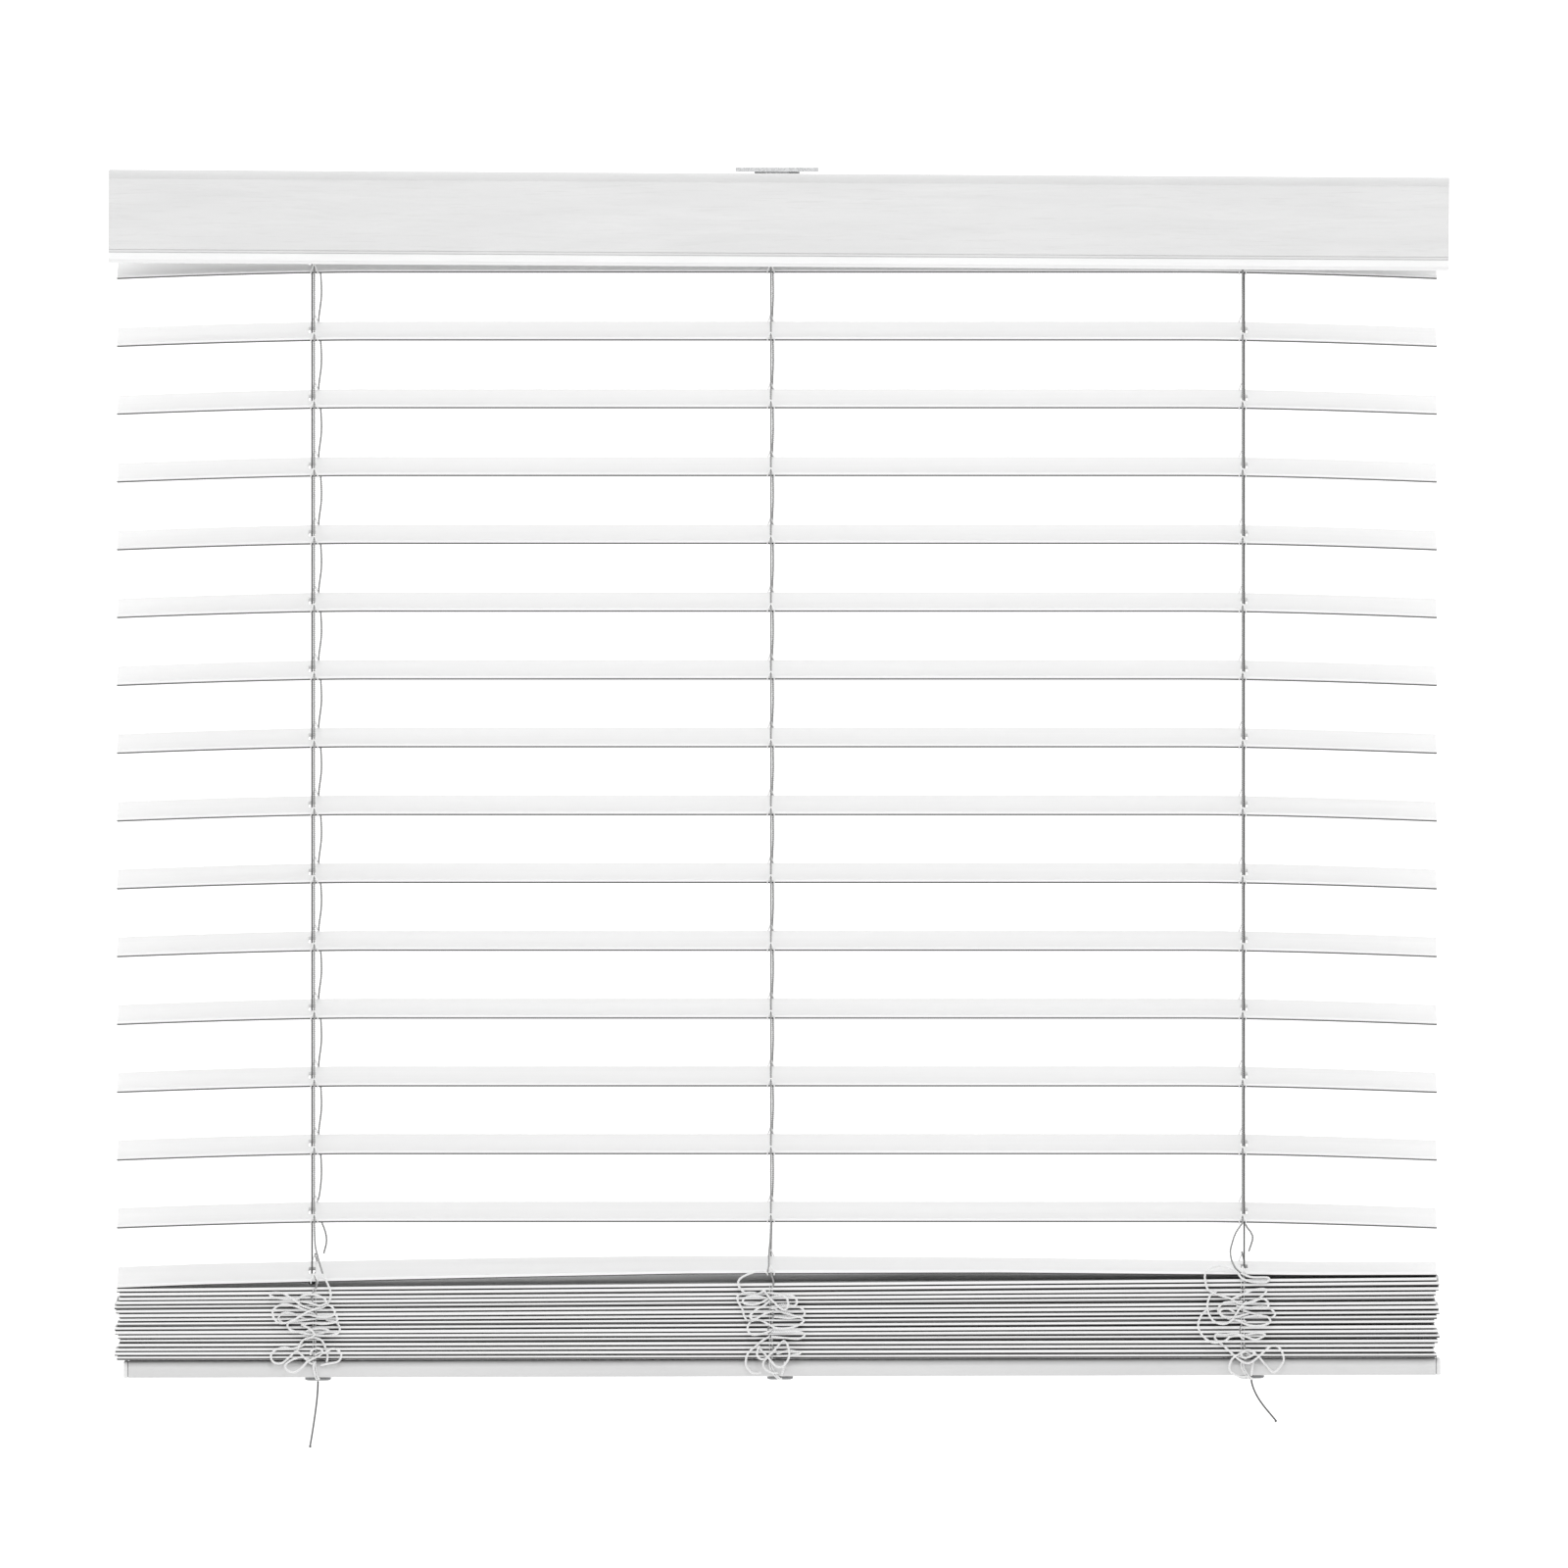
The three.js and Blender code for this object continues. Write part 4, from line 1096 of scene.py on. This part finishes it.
# The slack of each front string as it lies over the stack: one route for each slat, from the 17th down.
# Each point is (x from the station, height) in mm. The rear strings have the same loops, mirrored.
LOOPS = {
    "left": [
        [(5.6, -733.9), (8.1, -738.9), (10.2, -743.8), (10.9, -748.2), (9.8, -752.4), (6, -756),
         (0, -757.6)],
        [(0, -757.6), (-7.4, -755.5), (-13.9, -751), (-20.4, -747.1), (-26.9, -746.4), (-29.5, -747.7),
         (-26, -749.7), (-17, -751), (-10, -750.5)],
        [(-12, -751.5), (-7.4, -748.4), (-0.9, -747.7), (5.6, -749.7), (8.2, -753), (3.7, -754.9),
         (-2.2, -753.6), (-8.7, -752.3)],
        [(0, -760.7), (-6.1, -758.1), (-12.6, -755.5), (-20.4, -754.2), (-26.2, -756.8), (-27.5, -761.4),
         (-24.3, -766), (-19.1, -766.6), (-12.6, -764), (-6.1, -760.1), (0, -757.5), (5.6, -755.5)],
        [(5.6, -755.5), (10.2, -754.9), (13.4, -758.1), (12.8, -761.4), (7.6, -762.7), (0.4, -762),
         (-6.1, -760.1)],
        [(-6, -764), (-13.9, -760.5), (-20.4, -760), (-23.6, -763.3), (-20.4, -766.6), (-12.6, -765.3),
         (0, -764)],
        [(0, -764), (8, -762), (13.4, -761), (15.4, -763.3), (14.1, -765.9), (5.6, -767.2),
         (-0.9, -766.6), (-8.7, -767.9)],
        [(8, -764.6), (14.1, -765.9), (16.7, -769.2), (16, -773.1), (8.9, -775), (0.4, -774.4),
         (-8.7, -773.1), (-15.8, -771.1), (-17.8, -767.9), (-15.2, -765.9), (-8, -764.8)],
        [(-7.4, -767.9), (-2.2, -771), (0, -774.4), (-3, -776.5)],
        [(-3, -774.5), (6, -773), (9.5, -771.4), (4, -770.2), (-4, -771.5), (-6, -774.5)],
        [(-11.3, -784.8), (-8.7, -779.6), (-5.4, -777), (0.4, -776.4), (5, -778.3), (7.6, -783.5),
         (8.9, -788.7), (8.2, -792.6)],
        [(0, -788), (4, -786), (7.6, -786.1), (12.1, -783.5), (16, -784.8), (18, -788), (16, -792),
         (10.8, -793.3), (4.3, -794.6)],
        [(-6, -781), (-13.9, -783.5), (-20.4, -782.9), (-26.2, -784.8), (-28.8, -788.7), (-26.9, -792.6),
         (-21.7, -793.3), (-16.5, -789.4), (-11.9, -785.5), (-7.4, -788.7), (-3.5, -792.6),
         (0.4, -794.6)],
        [(-2.2, -791.3), (-8.7, -789.4), (-15.2, -791.3), (-19.1, -794.6), (-17.8, -797.9),
         (-13.2, -799.2), (-8.7, -796.6), (-4.8, -792.6), (-0.2, -790), (3, -788.7)],
        [(3, -788.7), (5.5, -786), (3.5, -783.4), (-1.5, -784.5), (-2.5, -788)],
        [(0.4, -792.5), (-0.4, -796), (0, -799), (0.8, -801.5)],
    ],
    "middle": [
        [(-2.4, -733.3), (-5.3, -732.4), (-11.1, -733), (-16.9, -735), (-21, -737.9), (-21.6, -741.4),
         (-19.3, -744.9), (-15.8, -747.2), (-10, -747.8), (-4.3, -745.2)],
        [(-4.3, -745.2), (-1, -749.7), (3.5, -754.2), (7.4, -757.5), (10.7, -756.8), (11.3, -752.3),
         (8.7, -748.4), (3.5, -747.1), (-2.3, -746.4)],
        [(-10, -746.6), (-16, -746.5), (-21.8, -748.4), (-21.8, -752.3), (-19.2, -756.8), (-17.9, -761.4),
         (-16, -764.7), (-12.1, -765.3)],
        [(-2, -750.5), (-9, -748.9), (-16, -749.4), (-18.6, -751.6), (-17, -753.9), (-9, -754),
         (0, -749.7)],
        [(-0.4, -749.7), (5.5, -748.4), (13.9, -748.4), (17.2, -751.6), (15.9, -754.9), (8.7, -755.5),
         (0, -757)],
        [(0, -756), (8, -754.5), (16.5, -755.5), (20.4, -756.8), (22.4, -760.1), (19.8, -762.7),
         (12, -760.7), (5.5, -758.8), (0.9, -755.5)],
        [(2, -758.5), (-4.3, -760.7), (-10.8, -764), (-14, -762), (-9.5, -757.5), (-4.3, -754.9),
         (0.3, -751)],
        [(2, -762.5), (12, -763.4), (19.1, -762.7), (21.7, -765.3), (18.5, -767.9), (12, -769.9),
         (3.5, -769.9), (-1.7, -767.3), (-7.5, -764.7), (-13.4, -765.3)],
        [(-13.4, -765.3), (-15.3, -769), (-14.7, -772.5), (-12.1, -774.4), (-5.6, -773.7), (0.3, -771.8)],
        [(0.3, -772.4), (8.7, -772.4), (18.5, -772.4), (22.4, -774.4), (18.5, -777), (8.7, -776.4),
         (0.3, -775.7)],
        [(-1, -775.7), (-5.6, -778.3), (-9.5, -781.6), (-14.7, -786.1), (-16.6, -791.3), (-16, -795.9),
         (-12.1, -799.8), (-6.9, -799.8)],
        [(-9.5, -781.6), (-4.3, -786.8), (0.3, -792), (3.5, -795.3), (6.8, -795.9), (9.4, -794),
         (12, -789.4), (12, -784.8), (10.7, -780.3), (8.7, -778.3)],
        [(8.7, -778.3), (6.1, -780.3), (2.2, -784.8), (-1.7, -788.7), (-4.9, -792.6), (-4.3, -796.6),
         (0.9, -799.8), (4.8, -799.8)],
        [(-7.5, -782), (-8.9, -785), (-8.9, -788.7), (-6.3, -790.7), (-2.3, -790)],
        [(4, -787), (12, -785), (19.8, -786.5), (12, -788.2), (4, -788.5)],
        [(9.4, -792.6), (8.8, -796), (7.8, -799), (7, -801.5)],
    ],
    "right": [
        [(-1.2, -733.5), (5.9, -736.2), (15.8, -736.4), (17.7, -737.6), (15.2, -739.5), (5.9, -739.2),
         (-0.4, -737), (-4.1, -732.6), (-10.9, -729.5), (-16.5, -729), (-22.1, -730.8), (-24.9, -734.5),
         (-24.6, -739.5), (-22.8, -744.5), (-17.5, -747.5), (-8, -750.5), (-3, -753.5), (1.5, -754.3)],
        [(1.5, -754.3), (8, -752.3), (12.5, -749), (15.5, -745.8), (14.5, -744), (10, -744.2),
         (5.5, -745.2), (-1, -748), (-8, -751)],
        [(0, -752.5), (-7, -752.6), (-13, -753.5), (-16.3, -757.5), (-14, -761.5), (-8, -764),
         (2, -765.5)],
        [(1, -753.8), (9, -751.4), (14, -750.6), (17, -753.4), (15.5, -756.6), (7, -756.6), (-4, -755.5)],
        [(2.6, -752.3), (-2.6, -758), (-6.5, -764), (-11.7, -767.2), (-18.2, -766), (-22.1, -761.4),
         (-23.4, -754.9), (-21.5, -748.4), (-17.6, -745.8)],
        [(0, -757.5), (9, -756), (17, -756.4), (21.5, -760.5), (18.5, -763), (10, -761), (0, -758.4)],
        [(-4, -760.5), (-10, -757), (-15, -758.5), (-13, -762), (-5, -762.5), (4, -760.5)],
        [(0, -763), (9, -761.8), (16.5, -762.6), (18.2, -766), (13, -768.2), (4, -768), (-4, -764.5)],
        [(-17, -756.9), (-24.7, -758.8), (-28.6, -764), (-29.3, -769.9), (-26, -775.7), (-19.5, -779.6),
         (-11.7, -778.3), (-7.8, -775.7), (1.3, -774.4)],
        [(-4, -773.5), (3, -776), (9, -777.5), (15, -774.5), (10, -773.3), (2, -774.5)],
        [(1, -777.5), (-4, -774), (-11.7, -774.4), (-17.6, -774.2), (-18.2, -777), (-14.3, -780.3)],
        [(-14.3, -780.3), (-8.5, -785.5), (-2.6, -790.7), (3.3, -793.3), (8.5, -790.7), (14.3, -785.5),
         (19.5, -781.6), (24.1, -782.9), (26.7, -787.5), (26.7, -792.7), (20.8, -799.2), (15, -794)],
        [(15, -794), (10.4, -788.8), (5.2, -785.5), (-1.3, -786.8), (-6.5, -790), (-8.5, -794),
         (-8.5, -797.9), (-5.2, -801.1), (0, -802.4), (4.6, -801.8)],
        [(-2, -786), (4, -784.4), (8, -786.5), (3, -789.5), (-3, -788.6)],
        [(2, -790.5), (-1, -788), (1, -785.5), (5, -787.4)],
        [(7.2, -792.5), (6.5, -796), (6, -799), (5.9, -801.5)],
    ],
}
LOOP_RADIUS = 0.78 * MM
STACK_STRING_Y = SLAT_DEPTH / 2 + 0.4 * MM
STACK_WAVE = 2 * MM
STACK_LAY = 1.3 * MM


def slack_piece(name, points, number):
    """A loop that goes down with its slat."""
    piece = add_object(name, twisted(name, points, LOOP_RADIUS), "cord", slat_name(number))
    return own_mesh(piece)


def add_slack_loops():
    """The loops lie in front of one another, each with its own bow away from the stack."""
    for station, x, face, side in ladder_strings():
        for i, route in enumerate(LOOPS[station]):
            number = OPEN_SLATS + 2 + i
            bow = 1.2 + 0.95 * (i * 3 % 5)
            points = []
            for place, (across, height) in enumerate(route):
                part = place / (len(route) - 1)
                out = STRING_Y + (0.6 + bow * math.sin(math.pi * part)) * MM
                points.append((x - side * across * MM, side * out, height * MM))
            slack_piece(f"{station}_{face}_slack_{number}", points, number)


def add_lower_leads():
    """The strings below the last open slat, and their stretch beside the stack."""
    for station, x, face, side in ladder_strings():
        y = side * (STRING_Y + 0.6 * MM)
        points = [(x + dx * MM, y, z * MM) for dx, z in LOWER_LEADS[station][face]]
        points[0] = (x, side * STRING_Y, edge_of(OPEN_SLATS, x, side).z - STRING_OVERLAP)
        name = f"{station}_{face}_lower_lead"
        lead = twisted(name, points)
        blended(name, lead, "ladder_cord", slat_name(OPEN_SLATS), "headrail", points[0], points[-1])
        top = (x, side * STACK_STRING_Y, points[-1][2])
        bottom = (x, side * STACK_STRING_Y, RAIL_TOP - 3 * MM)
        name = f"{station}_{face}_stack_string"
        heights = np.linspace(top[2], bottom[2], 9)
        wavy = [(x + STACK_WAVE * math.sin(2.1 * i), top[1], height) for i, height in enumerate(heights)]
        string = twisted(name, wavy, lay=STACK_LAY)
        blended(name, string, "ladder_cord", "headrail", "bottom_rail", top, bottom)


def add_rail_leads():
    """The ends of the strings turn under the bottom rail and into the buttons."""
    rail_top = RAIL_TOP / MM
    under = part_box("bottom_rail")[0].z / MM
    for station, x, face, side in ladder_strings():
        plug = middle_x(f"{station}_plug")
        route = [
            (x, 26.4, rail_top - 2), (x, 26.5, rail_top - 6), (x + (plug - x) * 0.4, 26.2, under + 2.6),
            (x + (plug - x) * 0.8, 24.4, under - 0.1), (plug, 20, under - 0.75), (plug, 12, under - 0.8),
            (plug, 7, under - 0.3),
        ]
        for strand, aside in (("a", -0.7), ("b", 0.7)):
            points = [(px + aside * MM, side * y * MM, z * MM) for px, y, z in route]
            name = f"{station}_{face}_rail_lead_{strand}"
            add_object(name, twisted(name, points), "cord", "bottom_rail")


add_slack_loops()
add_lower_leads()
add_rail_leads()


# ---------------------------------------------------------------- studio

# Brightness of the surroundings from the room side to the far side, and from straight down to straight up.
BACKDROP = [(0.0, 0.8), (0.3, 0.85), (0.5, 1.05), (0.75, 1.3), (0.95, 1.4)]
SKY = [(0.0, 0.15), (0.42, 0.35), (0.485, 0.9), (0.52, 1.0), (0.6, 1.15), (0.85, 1.1), (1.0, 0.9)]

KEY_PLACE = Vector((0.1, -2.1, 1.3))
KEY_TARGET = Vector((0, 0, -0.5))
KEY_SIZE = 0.8
KEY_POWER = 11

FLOOR_REACH = 12.0
FLOOR_DROP = 0.9


def add_floor():
    """A pale matt floor under the blind."""
    height = cad_low.z - FLOOR_DROP
    turns = ((-1, -1), (1, -1), (1, 1), (-1, 1))
    mesh = bpy.data.meshes.new("floor")
    mesh.from_pydata([(x * FLOOR_REACH, y * FLOOR_REACH, height) for x, y in turns], [], [(0, 1, 2, 3)])
    floor = linked("floor", mesh)
    finish = Finish("floor", Specular_IOR_Level=0.2)
    mottle = finish.noise(2.5, detail=4)
    finish.paint(finish.colour(mottle, grey(0.84), grey(0.87)))
    finish.rough(mottle, 0.8, 0.9)
    mesh.materials.append(finish.material)


def add_key_light():
    """A square lamp over the camera's side of the blind."""
    data = bpy.data.lights.new("key", "AREA")
    data.shape = "RECTANGLE"
    data.size = KEY_SIZE
    data.size_y = KEY_SIZE
    data.energy = KEY_POWER
    light = linked("key", data)
    light.location = KEY_PLACE
    light.rotation_euler = (KEY_TARGET - KEY_PLACE).to_track_quat("-Z", "Y").to_euler()


def add_world():
    """A white backdrop behind the blind, dimmer towards the room, overhead and below."""
    world = bpy.data.worlds.new("studio")
    world.use_nodes = True
    bpy.context.scene.world = world
    nodes, links = world.node_tree.nodes, world.node_tree.links
    split = nodes.new("ShaderNodeSeparateXYZ")
    links.new(nodes.new("ShaderNodeTexCoord").outputs["Generated"], split.inputs["Vector"])

    def graded(value, stops):
        placed = nodes.new("ShaderNodeMapRange")
        placed.inputs["From Min"].default_value = -1
        placed.inputs["From Max"].default_value = 1
        ramp = nodes.new("ShaderNodeValToRGB")
        elements = ramp.color_ramp.elements
        while len(elements) < len(stops):
            elements.new(0.5)
        for element, (place, level) in zip(elements, stops):
            element.position = place
            element.color = (level, level, level, 1)
        links.new(value, placed.inputs["Value"])
        links.new(placed.outputs["Result"], ramp.inputs["Fac"])
        return ramp.outputs["Color"]

    depth = graded(split.outputs["Y"], BACKDROP)
    height = graded(split.outputs["Z"], SKY)
    product = nodes.new("ShaderNodeMix")
    product.data_type = "RGBA"
    product.blend_type = "MULTIPLY"
    product.inputs["Factor"].default_value = 1
    sockets = [s for s in product.inputs if s.type == "RGBA"]
    links.new(depth, sockets[0])
    links.new(height, sockets[1])
    links.new([s for s in product.outputs if s.type == "RGBA"][0], nodes["Background"].inputs["Color"])


add_floor()
add_world()
add_key_light()
bpy.context.scene.view_settings.view_transform = "Standard"
